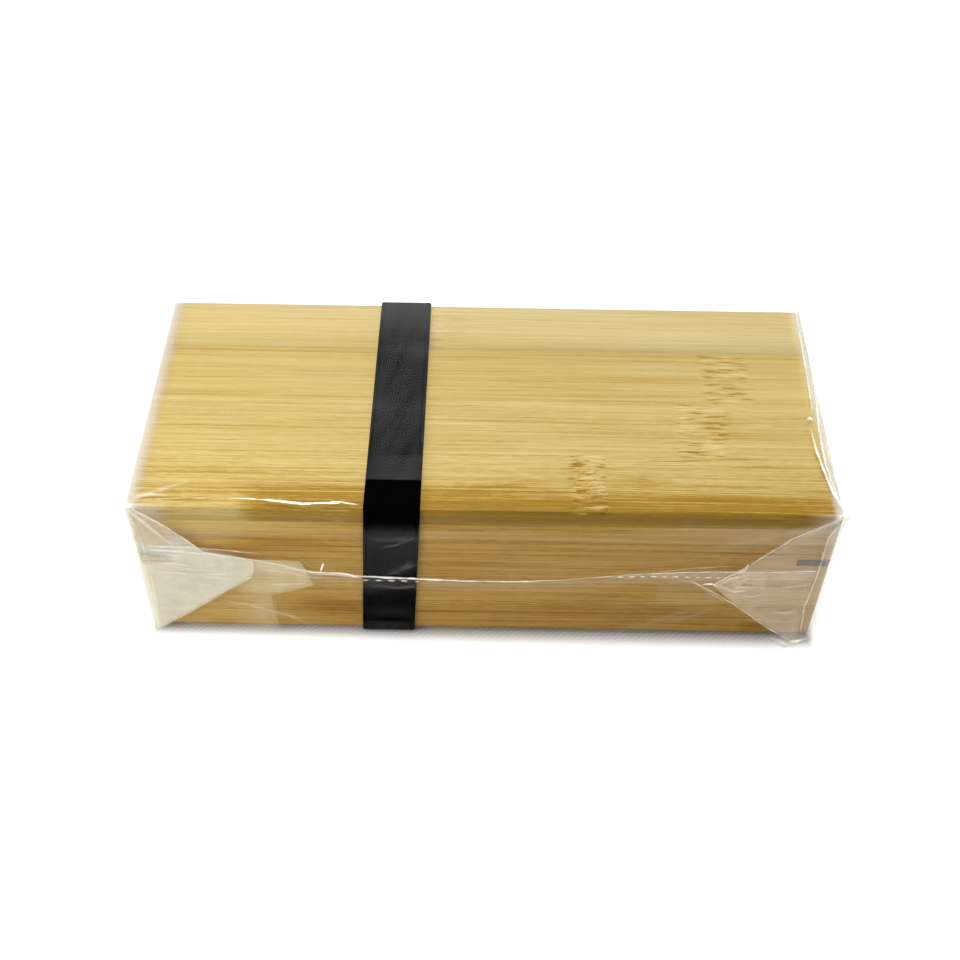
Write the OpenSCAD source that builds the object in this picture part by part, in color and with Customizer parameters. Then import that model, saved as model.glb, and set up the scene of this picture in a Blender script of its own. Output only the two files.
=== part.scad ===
// Slim one-tier bento lunch box of edge-glued bamboo: a mitred body with a grooved bottom board,
// dark corner keys and an inner liner, a flush lid, a loose divider, an elastic band round the
// middle, and the clear film bag that it is sold in.
// X runs along the box, Y from front to back, Z up. The origin is the middle of its resting plane.

/* [Box] */
// Length of the closed wooden box
box_l = 200; // [160:1:240]
// Depth of the closed wooden box, front to back
box_w = 87; // [70:1:120]
// Height of the closed wooden box, lid on
box_h = 55; // [50:1:75]
// Thickness of the four walls
wall_t = 7; // [6:0.5:9]
// Radius worn on the outer edges of the wood
edge_r = 1.2; // [0.5:0.1:2]

/* [Bottom board] */
// Thickness of the bottom board
bottom_t = 5; // [4:0.5:7]
// Height of the board above the feet of the walls
bottom_rise = 3; // [2.5:0.5:6]
// Depth of the groove round the walls
groove_d = 3; // [2:0.5:4]
// Room left at the end of the groove for the board to swell
swell_gap = 0.3; // [0.1:0.1:0.8]

/* [Corner keys] */
// Length of a key along each face of its corner
key_leg = 9.7; // [6:0.1:11]
// Thickness of a key
key_t = 3; // [2:0.5:4]
// Middle of a key below the top of the box
key_drop = 20.5; // [18:0.1:26]

/* [Lid] */
// Height of the lid, its board and rails together
lid_h = 13.5; // [11:0.5:15]
// Thickness of the lid's board
lid_board_t = 6; // [4:0.5:8]
// Gap all round between the lid's rails and the liner's lip
lid_gap = 0.3; // [0.1:0.05:0.6]
// Bevel on the outer edges of the lid and the body where they meet
seam_bevel = 0.35; // [0.2:0.05:0.8]

/* [Liner] */
// Thickness of the liner strips
liner_t = 2.5; // [2:0.5:4]
// Height of the lip that stands above the rim and finds the lid
liner_lip = 3; // [2:0.5:3.5]
// Bevel along the top outer edge of the lip
lip_bevel = 0.8; // [0.4:0.1:1.5]

/* [Divider] */
// Thickness of the loose divider
divider_t = 4; // [3:0.5:6]
// Middle of the divider, right of the box's middle
divider_x = 30; // [-60:1:60]
// Top of the divider below the rim of the body
divider_drop = 2; // [1:0.5:10]
// Gap at each end of the divider
divider_gap = 0.25; // [0.1:0.05:0.5]
// Radius of the divider's top corners
divider_r = 4; // [2:0.5:8]

/* [Elastic band] */
// Width of the elastic
band_w = 15.8; // [10:0.1:25]
// Thickness of the elastic
band_t = 1; // [0.8:0.1:1.2]
// Gap between the elastic and the wood
band_gap = 0.2; // [0.1:0.05:0.4]
// Middle of the band on the lid, right of the box's middle
band_x = -25.8; // [-60:0.1:60]
// How far the band leans to the left from the lid down to the feet
band_lean = 2.8; // [0:0.1:6]
// Length of the lap where the ends of the elastic are sewn together
lap_l = 24; // [16:1:40]

/* [Stitching] */
// Thickness of the thread
thread_d = 0.35; // [0.2:0.05:0.5]
// Length of one stitch
stitch_l = 1.6; // [1:0.1:2.5]
// Distance from one stitch to the next
stitch_pitch = 2.3; // [2:0.1:4]
// Distance of each stitched row from the end of the lap
row_inset = 3; // [2:0.5:6]

/* [Film bag] */
// Thickness of the film
film_t = 0.2; // [0.1:0.05:0.3]
// Gap between the film and the elastic
film_gap = 0.3; // [0.2:0.05:0.6]
// Height of the film's cut lower edge above the resting plane
film_foot = 0.2; // [0.1:0.1:1]
// Width of the hem below the seal
hem_w = 5.5; // [3:0.5:8]
// Thickness of the hem
hem_t = 0.15; // [0.1:0.05:0.3]
// Thickness of a folded ear
ear_t = 0.3; // [0.2:0.05:0.5]
// Reach of the left ear along the front
left_ear = 33; // [20:1:45]
// Reach of the right ear along the front
right_ear = 34; // [20:1:45]
// Height of an ear's blunt tip
ear_tip = 8; // [4:1:14]

/* [Tape] */
// Thickness of a patch of tape
tape_t = 0.15; // [0.1:0.05:0.3]
// Width of the left patch
left_tape_w = 24; // [15:1:40]
// Width of the right patch
right_tape_w = 19; // [15:1:40]
// Height of the right patch
right_tape_h = 16.5; // [10:0.5:25]
// Left end of the wood to the left patch
left_tape_x = 14; // [6:1:30]
// Right end of the wood to the right patch
right_tape_x = 31; // [6:1:40]
// Top of the wood to the top of the left patch
left_tape_drop = 17; // [10:0.5:30]
// Top of the wood to the top of the right patch
right_tape_drop = 21.5; // [10:0.5:30]

/* [Hidden] */

$fn = 48;
eps = 0.05;            // how far a cutting or joining shape runs past a face
strip_count = 4;       // strips glued into the lid's board
stitch_count = 5;      // stitches in each row across the lap

// Heights
foot_z = band_t + band_gap;                  // feet of the walls, which stand on the band
top_z = foot_z + box_h;                      // top of the lid
rim_z = top_z - lid_h;                       // top of the body's walls
body_h = box_h - lid_h;
rail_h = lid_h - lid_board_t;
board_z = foot_z + bottom_rise;              // underside of the bottom board
floor_z = board_z + bottom_t;                // floor of the compartments

// Plan sizes
in_l = box_l - 2 * wall_t;                   // between the walls
in_w = box_w - 2 * wall_t;
food_w = in_w - 2 * liner_t;                 // between the liners
rail_t = wall_t - lid_gap;
strip_w = box_w / strip_count;

// Band and film, as offsets from the wood
band_out = band_gap + band_t;                // to the outside of the band
film_in = band_out + film_gap;               // to the inside of the film
film_out = film_in + film_t;                 // to the outside of the film
front_y = -box_w / 2;                        // front face of the wood
film_top = top_z + film_out;
film_y = front_y - film_out;                 // front face of the film

// The seal across the front: [right of the wood's left end, below its top], ends first
seal_pts = [[2, 14.9], [33, 20.2], [50, 25.7], [65, 28.3], [99, 28.9], [133, 26], [166, 22.7], [196, 21.6]];

BAMBOO = [0.80, 0.66, 0.38];
BAMBOO_DARK = [0.70, 0.54, 0.28];
KEY_WOOD = [0.16, 0.12, 0.10];
ELASTIC = [0.06, 0.06, 0.065];
THREAD = [0.12, 0.12, 0.13];
FILM = [0.93, 0.95, 0.96, 0.30];

// ---- Outlines and envelopes ----

// A rectangle about the origin, with round corners
module round_rect(l, w, r) {
    square([l - 2 * r, w], center = true);
    square([l, w - 2 * r], center = true);
    for (x = [-1, 1], y = [-1, 1])
        translate([x * (l / 2 - r), y * (w / 2 - r)])
            circle(r);
}

// The closed wooden box with every outer edge softened
module soft_box() {
    intersection() {
        translate([0, 0, foot_z])
            linear_extrude(box_h)
                round_rect(box_l, box_w, edge_r);
        translate([-box_l / 2, 0, foot_z + box_h / 2])
            rotate([90, 0, 90])
                linear_extrude(box_l)
                    round_rect(box_w, box_h, edge_r);
        translate([0, box_w / 2, foot_z + box_h / 2])
            rotate([90, 0, 0])
                linear_extrude(box_w)
                    round_rect(box_l, box_h, edge_r);
    }
}

// One side of a mitred frame, along the front of an l by w rectangle
module mitred_front(l, w, t) {
    polygon([[-l / 2, -w / 2], [l / 2, -w / 2], [l / 2 - t, t - w / 2], [t - l / 2, t - w / 2]]);
}

// One side of a mitred frame, along the left end of an l by w rectangle
module mitred_left(l, w, t) {
    polygon([[-l / 2, -w / 2], [t - l / 2, t - w / 2], [t - l / 2, w / 2 - t], [-l / 2, w / 2]]);
}

// ---- Body ----

// The bottom board's outline, drawn larger by grow to cut its groove
module board_plan(grow) {
    square([in_l + 2 * (groove_d + grow), in_w + 2 * (groove_d + grow)], center = true);
}

// The slab of each corner key: a triangle across the corner
module key_slabs() {
    for (x = [-1, 1], y = [-1, 1])
        translate([x * box_l / 2, y * box_w / 2, top_z - key_drop - key_t / 2])
            linear_extrude(key_t)
                polygon([[0, 0], [-x * key_leg, 0], [0, -y * key_leg]]);
}

// The small V round the seam, cut half from the body and half from the lid
module seam_v() {
    side = seam_bevel * sqrt(2);
    for (y = [-1, 1])
        translate([0, y * box_w / 2, rim_z])
            rotate([45, 0, 0])
                cube([box_l, side, side], center = true);
    for (x = [-1, 1])
        translate([x * box_l / 2, 0, rim_z])
            rotate([0, 45, 0])
                cube([side, box_w, side], center = true);
}

// A wall grown from its plan, with the groove and the key slots cut
module wall() {
    color(BAMBOO)
        difference() {
            intersection() {
                soft_box();
                translate([0, 0, foot_z])
                    linear_extrude(body_h)
                        children();
            }
            translate([0, 0, board_z])
                linear_extrude(bottom_t)
                    board_plan(swell_gap);
            key_slabs();
            seam_v();
        }
}

module front_wall() {
    wall() mitred_front(box_l, box_w, wall_t);
}

module back_wall() {
    wall() mirror([0, 1]) mitred_front(box_l, box_w, wall_t);
}

module left_end_wall() {
    wall() mitred_left(box_l, box_w, wall_t);
}

module right_end_wall() {
    wall() mirror([1, 0]) mitred_left(box_l, box_w, wall_t);
}

module bottom_board() {
    color(BAMBOO_DARK)
        translate([0, 0, board_z])
            linear_extrude(bottom_t)
                board_plan(0);
}

// The key at one corner; x and y are the signs of its quarter of the box
module corner_key(x, y) {
    color(KEY_WOOD)
        intersection() {
            soft_box();
            key_slabs();
            translate([x * box_l / 2, y * box_w / 2, rim_z - body_h / 2])
                cube([2 * key_leg, 2 * key_leg, body_h], center = true);
        }
}

module key_front_left() { corner_key(-1, -1); }
module key_front_right() { corner_key(1, -1); }
module key_back_left() { corner_key(-1, 1); }
module key_back_right() { corner_key(1, 1); }

// Section of a liner strip: outer face at 0, strip to the right, bevelled lip above the rim
module liner_section() {
    h = rim_z + liner_lip - floor_z;
    polygon([[0, 0], [liner_t, 0], [liner_t, h], [lip_bevel, h], [0, h - lip_bevel]]);
}

// A liner strip as long as l, outer face on the line y = -w / 2, mitred at both ends
module liner(l, w) {
    color(BAMBOO_DARK)
        intersection() {
            translate([-l / 2, -w / 2, floor_z])
                rotate([90, 0, 90])
                    linear_extrude(l)
                        liner_section();
            translate([0, 0, floor_z])
                linear_extrude(box_h)
                    mitred_front(l, w, liner_t);
        }
}

module liner_front() { liner(in_l, in_w); }
module liner_back() { mirror([0, 1, 0]) liner(in_l, in_w); }
module liner_left() { rotate([0, 0, -90]) liner(in_w, in_l); }
module liner_right() { rotate([0, 0, 90]) liner(in_w, in_l); }

// ---- Lid ----

// Strip i of the lid's board, counted from the front
module lid_strip(i) {
    color(BAMBOO)
        intersection() {
            soft_box();
            translate([-box_l / 2, front_y + i * strip_w, top_z - lid_board_t])
                cube([box_l, strip_w, lid_board_t]);
        }
}

module lid_strip_front() { lid_strip(0); }
module lid_strip_mid_front() { lid_strip(1); }
module lid_strip_mid_back() { lid_strip(2); }
module lid_strip_back() { lid_strip(3); }

// A rail grown from its plan, between the rim and the lid's board
module rail() {
    color(BAMBOO)
        difference() {
            intersection() {
                soft_box();
                translate([0, 0, rim_z])
                    linear_extrude(rail_h)
                        children();
            }
            seam_v();
        }
}

module lid_rail_front() {
    rail() mitred_front(box_l, box_w, rail_t);
}

module lid_rail_back() {
    rail() mirror([0, 1]) mitred_front(box_l, box_w, rail_t);
}

module lid_rail_left() {
    rail() mitred_left(box_l, box_w, rail_t);
}

module lid_rail_right() {
    rail() mirror([1, 0]) mitred_left(box_l, box_w, rail_t);
}

// ---- Divider ----

module divider() {
    w = food_w - 2 * divider_gap;
    h = rim_z - divider_drop - floor_z;
    color(BAMBOO_DARK)
        translate([divider_x - divider_t / 2, 0, floor_z])
            rotate([90, 0, 90])
                linear_extrude(divider_t)
                    union() {
                        translate([-w / 2, 0])
                            square([w, h - divider_r]);
                        translate([divider_r - w / 2, 0])
                            square([w - 2 * divider_r, h]);
                        for (y = [-1, 1])
                            translate([y * (w / 2 - divider_r), h - divider_r])
                                circle(divider_r);
                    }
}

// ---- Elastic band ----

// The plan of the band seen from the front: upright over the lid, leaning down the walls
module band_front_plan() {
    left = band_x - band_w / 2;
    right = band_x + band_w / 2;
    high = top_z - edge_r;
    low = foot_z + edge_r;
    above = top_z + band_out + eps;
    polygon([
        [left, above], [right, above], [right, high], [right - band_lean, low],
        [right - band_lean, -eps], [left - band_lean, -eps], [left - band_lean, low], [left, high]
    ]);
}

module elastic_band() {
    reach = box_l / 2;
    color(ELASTIC) {
        intersection() {
            translate([-reach, 0, foot_z + box_h / 2])
                rotate([90, 0, 90])
                    linear_extrude(2 * reach)
                        difference() {
                            round_rect(box_w + 2 * band_out, box_h + 2 * band_out, edge_r + band_out);
                            round_rect(box_w + 2 * band_gap, box_h + 2 * band_gap, edge_r + band_gap);
                        }
            translate([0, box_w, 0])
                rotate([90, 0, 0])
                    linear_extrude(2 * box_w)
                        band_front_plan();
        }
        translate([band_x - band_lean - band_w / 2, -lap_l / 2, band_t - eps])
            cube([band_w, lap_l, band_t + eps]);
    }
}

// Two rows of stitches across the lap, on its upper side
module band_stitching() {
    row_l = (stitch_count - 1) * stitch_pitch;
    color(THREAD)
        for (end = [-1, 1], i = [0 : stitch_count - 1])
            translate([
                band_x - band_lean - row_l / 2 + i * stitch_pitch,
                end * (lap_l / 2 - row_inset),
                2 * band_t + thread_d / 2
            ])
                cube([stitch_l, thread_d, thread_d], center = true);
}

// ---- Film bag ----

// The hood of film over the box; its underside is cut away
module film_hood() {
    difference() {
        translate([0, 0, (film_top + film_foot) / 2])
            cube([box_l + 2 * film_out, box_w + 2 * film_out, film_top - film_foot], center = true);
        translate([0, 0, (top_z + film_in) / 2 - eps])
            cube([box_l + 2 * film_in, box_w + 2 * film_in, top_z + film_in + 2 * eps], center = true);
    }
}

// A flat piece on the front of the film: drawn right of the wood's left end and below its top
module on_front(t, out) {
    translate([-box_l / 2, film_y - out, top_z])
        rotate([90, 0, 0])
            linear_extrude(t)
                mirror([0, 1])
                    children();
}

// The hem under the seal
module film_hem() {
    low_edge = [for (i = [len(seal_pts) - 1 : -1 : 0]) seal_pts[i] + [0, hem_w]];
    on_front(hem_t + eps, -eps)
        polygon(concat(seal_pts, low_edge));
}

// The corners of the bag, folded flat against the front
module film_ears() {
    high = -film_out;
    low = box_h + foot_z - film_foot;
    left_tip = seal_pts[1][1];
    right_tip = seal_pts[len(seal_pts) - 2][1];
    on_front(ear_t + eps, -eps) {
        polygon([
            [-film_out, high], [left_ear, left_tip], [left_ear, left_tip + ear_tip], [-film_out, low]
        ]);
        polygon([
            [box_l + film_out, high], [box_l - right_ear, right_tip],
            [box_l - right_ear, right_tip + ear_tip], [box_l + film_out, low]
        ]);
    }
}

module film_wrap() {
    color(FILM) {
        film_hood();
        film_hem();
        film_ears();
    }
}

module tape_left() {
    color(FILM)
        on_front(tape_t, ear_t)
            translate([left_tape_x, left_tape_drop])
                square([left_tape_w, box_h + foot_z - film_foot - left_tape_drop]);
}

module tape_right() {
    color(FILM)
        on_front(tape_t, ear_t)
            translate([box_l - right_tape_x - right_tape_w, right_tape_drop])
                square([right_tape_w, right_tape_h]);
}

front_wall();
back_wall();
left_end_wall();
right_end_wall();
bottom_board();
key_front_left();
key_front_right();
key_back_left();
key_back_right();
liner_front();
liner_back();
liner_left();
liner_right();
lid_strip_back();
lid_strip_mid_back();
lid_strip_mid_front();
lid_strip_front();
lid_rail_front();
lid_rail_back();
lid_rail_left();
lid_rail_right();
divider();
elastic_band();
band_stitching();
film_wrap();
tape_left();
tape_right();
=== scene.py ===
"""Looks of a slim bento lunch box of glued bamboo, with its black elastic band, in a clear film bag.

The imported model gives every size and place. All lengths in this file are millimetres until they
reach a mesh, a lamp or the camera, where the factor MM turns them into metres.
"""

import math

import bmesh
import bpy
from mathutils import Matrix, Vector, geometry, noise


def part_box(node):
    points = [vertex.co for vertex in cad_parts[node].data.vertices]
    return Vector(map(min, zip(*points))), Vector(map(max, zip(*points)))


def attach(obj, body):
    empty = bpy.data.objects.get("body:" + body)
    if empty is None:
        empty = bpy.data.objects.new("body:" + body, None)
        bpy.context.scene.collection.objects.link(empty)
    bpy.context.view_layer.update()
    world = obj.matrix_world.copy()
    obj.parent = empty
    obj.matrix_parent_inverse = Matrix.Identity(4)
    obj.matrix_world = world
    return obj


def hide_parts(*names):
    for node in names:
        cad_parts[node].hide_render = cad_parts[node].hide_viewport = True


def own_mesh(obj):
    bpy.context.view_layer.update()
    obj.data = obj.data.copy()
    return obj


bl_info = {
    "name": "Bento lunch box",
    "version": (1, 0, 0),
    "blender": (4, 5, 0),
    "location": "View3D > Sidebar > Bento box",
    "description": "Dresses the packed bento lunch box in bamboo, woven elastic and clear film",
    "category": "Object",
}

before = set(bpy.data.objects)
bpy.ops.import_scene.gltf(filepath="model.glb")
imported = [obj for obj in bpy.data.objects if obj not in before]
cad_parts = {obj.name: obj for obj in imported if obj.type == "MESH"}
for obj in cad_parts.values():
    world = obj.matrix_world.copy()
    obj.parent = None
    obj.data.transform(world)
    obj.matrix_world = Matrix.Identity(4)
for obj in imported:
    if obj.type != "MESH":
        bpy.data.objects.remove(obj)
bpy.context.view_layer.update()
MM = 0.001
# Without a seed, noise_vector starts from the clock and the film's creases differ in each run
CREASE_SEED = 5
noise.seed_set(CREASE_SEED)


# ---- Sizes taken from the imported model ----

def node_box(node):
    """Lowest and highest corner of a CAD node, in millimetres."""
    low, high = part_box(node)
    return low / MM, high / MM


WOOD_LOW = node_box("front_wall")[0]
WOOD_HIGH = Vector((
    node_box("front_wall")[1].x, node_box("back_wall")[1].y, node_box("lid_strip_front")[1].z
))
TOP_Z = WOOD_HIGH.z
RIM_Z = node_box("lid_rail_front")[0].z
LIP_Z = node_box("liner_front")[1].z
BAND_LOW, BAND_HIGH = node_box("elastic_band")
FILM_LOW, FILM_HIGH = node_box("film_wrap")
FILM_OUT = FILM_HIGH.x - WOOD_HIGH.x
FILM_FRONT_Y = WOOD_LOW.y - FILM_OUT
STRIP_W = (WOOD_HIGH.y - WOOD_LOW.y) / 4
BAND_W = 15.8
BAND_T = 1.0
BAND_GAP = WOOD_LOW.z - BAND_T
BAND_OUT = WOOD_LOW.z
BAND_LEAN = BAND_HIGH.x - BAND_LOW.x - BAND_W
BAND_TOP_X = BAND_HIGH.x - BAND_W / 2
LAP_HALF = 12.0
EDGE_R = 1.2
FILM_BEND = 1.3
# Where the film clings to the lid: in front of this line, and down to this height on the front
CLING_Y = -33.6
CLING_Z = TOP_Z - 7.4
# Points this close are one. An edge that lies this near a level, in metres, is on it
MERGE = 1e-6
LEVEL_SLACK = 1e-5
# How many degrees an edge has to turn before it stays hard
WOOD_TURN = 35
SHEET_TURN = 60
ROUND_TURN = 80
TIP_TURN = 20
# Faces of wood that turn less than this are one; edges are sanded where they turn more than that
FLAT_TURN = 0.5
CORNER_TURN = 40
SHORT_EDGE = 2


def paint(red, green, blue):
    """A colour given as it looks on a screen, 0 to 255, as the plain numbers that shaders use."""
    shares = [value / 255 for value in (red, green, blue)]
    return tuple(
        share / 12.92 if share < 0.04045 else ((share + 0.055) / 1.055) ** 2.4
        for share in shares
    )


def opaque(colour):
    """A colour with the fourth number that colour sockets want."""
    return (*colour, 1.0)


# ---- What a user would change ----

def colour_setting(name, description, default):
    """A colour, kept as the plain numbers that shaders use."""
    return bpy.props.FloatVectorProperty(
        name=name, description=description, subtype="COLOR", size=3, min=0, max=1, default=default
    )


def length_setting(name, description, default, low, high):
    """A length, given here in millimetres and kept in metres."""
    return bpy.props.FloatProperty(
        name=name, description=description, default=default * MM, min=low * MM, max=high * MM,
        unit="LENGTH", precision=5,
    )


def number_setting(name, description, default, low, high, unit="NONE"):
    """A plain number, or a lamp's power in watts."""
    return bpy.props.FloatProperty(
        name=name, description=description, default=default, min=low, max=high, unit=unit
    )


class BentoWoodSettings(bpy.types.PropertyGroup):
    """Colours and edges of the bamboo."""

    lid_pale: colour_setting("Lid, pale fibre", "Palest streaks of the lid", paint(238, 219, 160))
    lid_mid: colour_setting("Lid, main tone", "Main tone of the lid", paint(213, 186, 111))
    lid_deep: colour_setting("Lid, deep fibre", "Darker golden streaks of the lid", paint(176, 134, 40))
    wall_pale: colour_setting("Walls, pale fibre", "Palest streaks of the walls", paint(228, 196, 122))
    wall_mid: colour_setting("Walls, main tone", "Main tone of the walls", paint(208, 164, 78))
    wall_deep: colour_setting("Walls, deep fibre", "Darker streaks of the walls", paint(172, 120, 32))
    key_colour: colour_setting("Corner keys", "Dark wood of the corner keys", paint(76, 56, 46))
    arris: length_setting("Sanded edge", "Width of the sanded edges inside the box", 0.3, 0.05, 1)


class BentoBandSettings(bpy.types.PropertyGroup):
    """The woven elastic and its seam."""

    colour: colour_setting("Elastic", "Colour of the raised yarns", (0.03, 0.03, 0.031))
    twill_pitch: length_setting("Twill pitch", "Distance from one diagonal rib to the next", 1.3, 0.4, 3)
    stitch_length: length_setting("Stitch length", "Length of one stitch in the lap", 1.6, 0.5, 4)
    stitch_pitch: length_setting("Stitch pitch", "Distance from one stitch to the next", 2.3, 1, 6)


class BentoFilmSettings(bpy.types.PropertyGroup):
    """The clear bag, its seal and its tape."""

    thickness: length_setting("Film thickness", "Thickness of one layer of film", 0.08, 0.02, 0.3)
    slack: length_setting("Slack", "Height of the slow waves in the film", 0.12, 0, 0.3)
    gloss: number_setting(
        "Gloss", "Share of light that one face of the film mirrors head on", 0.006, 0, 0.1
    )
    dash_pitch: length_setting(
        "Seal dash pitch", "Distance between the dashes pressed along the seal", 3.1, 1, 8
    )


class BentoStageSettings(bpy.types.PropertyGroup):
    """Floor, light and camera."""

    floor_colour: colour_setting("Floor", "Colour of the floor", (0.7, 0.7, 0.69))
    floor_glow: number_setting("Floor whiteness", "What the floor adds where it is looked at", 0.7, 0, 1)
    sky: number_setting("Room light", "Strength of the light from all round", 0.22, 0, 2)
    lamp_power: number_setting("Lamp", "Power of the wide lamp overhead", 10.1, 0, 100, "POWER")
    fill_power: number_setting(
        "Side lamp", "Power of the small lamp at the left of the front", 0.3, 0, 10, "POWER"
    )
    lens: number_setting("Lens", "Focal length on a sensor 36 mm wide", 51.0, 20, 200)


# ---- Materials: a bench to build them on ----

class Reading:
    """A number that varies over a surface. Python's operators on it add Math nodes."""

    def __init__(self, bench, socket):
        self.bench = bench
        self.socket = socket

    def __add__(self, other):
        return self.bench.maths("ADD", self, other)

    def __radd__(self, other):
        return self.bench.maths("ADD", other, self)

    def __sub__(self, other):
        return self.bench.maths("SUBTRACT", self, other)

    def __rsub__(self, other):
        return self.bench.maths("SUBTRACT", other, self)

    def __mul__(self, other):
        return self.bench.maths("MULTIPLY", self, other)

    def __rmul__(self, other):
        return self.bench.maths("MULTIPLY", other, self)

    def __truediv__(self, other):
        return self.bench.maths("DIVIDE", self, other)

    def __rtruediv__(self, other):
        return self.bench.maths("DIVIDE", other, self)

    def __abs__(self):
        return self.bench.maths("ABSOLUTE", self)

    def __pow__(self, other):
        return self.bench.maths("POWER", self, other)


class Bench:
    """Builds the nodes of one new material or world."""

    def __init__(self, owner):
        self.owner = owner
        owner.use_nodes = True
        self.tree = owner.node_tree
        self.tree.nodes.clear()

    def add(self, kind, settings=None, inputs=None):
        """A node of that kind, its settings set first and then its sockets fed."""
        node = self.tree.nodes.new(kind)
        for key, value in (settings or {}).items():
            if key == "stops":
                self.set_stops(node.color_ramp, value)
            else:
                setattr(node, key, value)
        for key, value in (inputs or {}).items():
            if isinstance(value, Reading):
                value = value.socket
            if isinstance(value, bpy.types.NodeSocket):
                self.tree.links.new(value, node.inputs[key])
            else:
                node.inputs[key].default_value = value
        return node

    def set_stops(self, ramp, stops):
        """Gives a colour ramp its stops, (place, colour) each."""
        while len(ramp.elements) < len(stops):
            ramp.elements.new(0.5)
        for element, (place, colour) in zip(ramp.elements, stops):
            element.position = place
            element.color = opaque(colour)

    def maths(self, operation, *values):
        """Any Math node, its values fed in order."""
        node = self.add("ShaderNodeMath", {"operation": operation}, dict(enumerate(values)))
        return Reading(self, node.outputs[0])

    def ramp(self, value, low, high):
        """0 where value is low and 1 where it is high, smooth in between."""
        node = self.add(
            "ShaderNodeMapRange", {"interpolation_type": "SMOOTHSTEP"},
            {"Value": value, "From Min": low, "From Max": high},
        )
        return Reading(self, node.outputs[0])

    def stripes(self, value):
        """0 at whole numbers and 1 half way between them, straight in between."""
        return self.maths("PINGPONG", value, 0.5) * 2.0

    def peak(self, value, centre, half):
        """1 where value is at the centre, 0 where it is half or more away."""
        return self.ramp(abs(value - centre), half, 0)

    def between(self, value, low, high, fade):
        """1 between low and high, falling to 0 over fade on either side."""
        return self.ramp(value, low - fade, low) * self.ramp(value, high + fade, high)

    def place(self):
        """The point on the piece, as three readings in millimetres."""
        point = self.add("ShaderNodeTexCoord").outputs["Object"]
        parts = self.add("ShaderNodeSeparateXYZ", None, {0: point})
        return [Reading(self, socket) * (1 / MM) for socket in parts.outputs]

    def attribute(self, name):
        """What a piece's mesh keeps under that name."""
        node = self.add("ShaderNodeAttribute", {"attribute_name": name})
        return Reading(self, node.outputs["Fac"])

    def along_sheet(self):
        """The piece's own UV map, as two readings in millimetres."""
        point = self.add("ShaderNodeUVMap", {"uv_map": "weave"}).outputs[0]
        parts = self.add("ShaderNodeSeparateXYZ", None, {0: point})
        return [Reading(self, parts.outputs[i]) for i in (0, 1)]

    def noise(self, x, y, z, detail=2.0, roughness=0.5):
        """Smooth noise, about 0.5 on average, at a point given as three readings."""
        point = self.add("ShaderNodeCombineXYZ", None, {0: x, 1: y, 2: z}).outputs[0]
        node = self.add(
            "ShaderNodeTexNoise", None,
            {"Vector": point, "Scale": 1.0, "Detail": detail, "Roughness": roughness},
        )
        return Reading(self, node.outputs[0])

    def blend(self, share, first, second):
        """One colour fading into another."""
        node = self.add(
            "ShaderNodeMix", {"data_type": "RGBA", "clamp_factor": True},
            {0: share, 6: first, 7: second},
        )
        return node.outputs[2]

    def bump(self, height, depth, strength=1.0):
        """A normal bent by a height that varies, depth millimetres for each unit of it."""
        node = self.add(
            "ShaderNodeBump", None, {"Height": height, "Strength": strength, "Distance": depth * MM}
        )
        return node.outputs[0]

    def shader_mix(self, share, first, second):
        """One shader fading into another."""
        node = self.add("ShaderNodeMixShader", None, {0: share, 1: first, 2: second})
        return node.outputs[0]

    def seen(self):
        """1 for what the camera sees, straight or in a mirror or through glass."""
        path = self.add("ShaderNodeLightPath").outputs
        straight, mirrored, through = [
            Reading(self, path[name])
            for name in ("Is Camera Ray", "Is Glossy Ray", "Is Transmission Ray")
        ]
        return self.maths("MAXIMUM", self.maths("MAXIMUM", straight, mirrored), through)

    def finish(self, shader, kind="ShaderNodeOutputMaterial"):
        """The finished material or world."""
        self.add(kind, None, {"Surface": shader})
        return self.owner

    def principled(self, inputs):
        """The finished material, with one Principled shader fed from inputs."""
        return self.finish(self.add("ShaderNodeBsdfPrincipled", None, inputs).outputs[0])


# ---- Bamboo ----

class Knuckle:
    """Where a bamboo stem's ring crosses a strip: its fibres bunch up and turn blotchy there.

    start and end are places along the strip, fades how far it dies away before and after them,
    ragged how uneven its ends are and specks how dark its pores. It shows only above the height
    above, where one is given.
    """

    def __init__(self, start, end, strength, fades=(5.0, 3.0), specks=0.0, ragged=4.0, above=None):
        self.start = start
        self.end = end
        self.strength = strength
        self.fades = fades
        self.specks = specks
        self.ragged = ragged
        self.above = above


class Grain:
    """How the fibres of a piece run: along, across and depth are 0, 1 or 2 for X, Y or Z.

    crisp is how strong the fine fibres are, wander how far they stray sideways.
    """

    def __init__(self, along, across, depth, crisp=1.0, wander=1.2):
        self.along = along
        self.across = across
        self.depth = depth
        self.crisp = crisp
        self.wander = wander


# The tone of bamboo where nothing changes it, from 0, deepest, to 1, palest
USUAL_TONE = 0.53
ALONG_TOP = Grain(0, 1, 2)
ALONG_SIDE = Grain(0, 2, 1, 1.4, 2.4)
ACROSS_SIDE = Grain(1, 2, 0, 1.4, 2.0)


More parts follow.
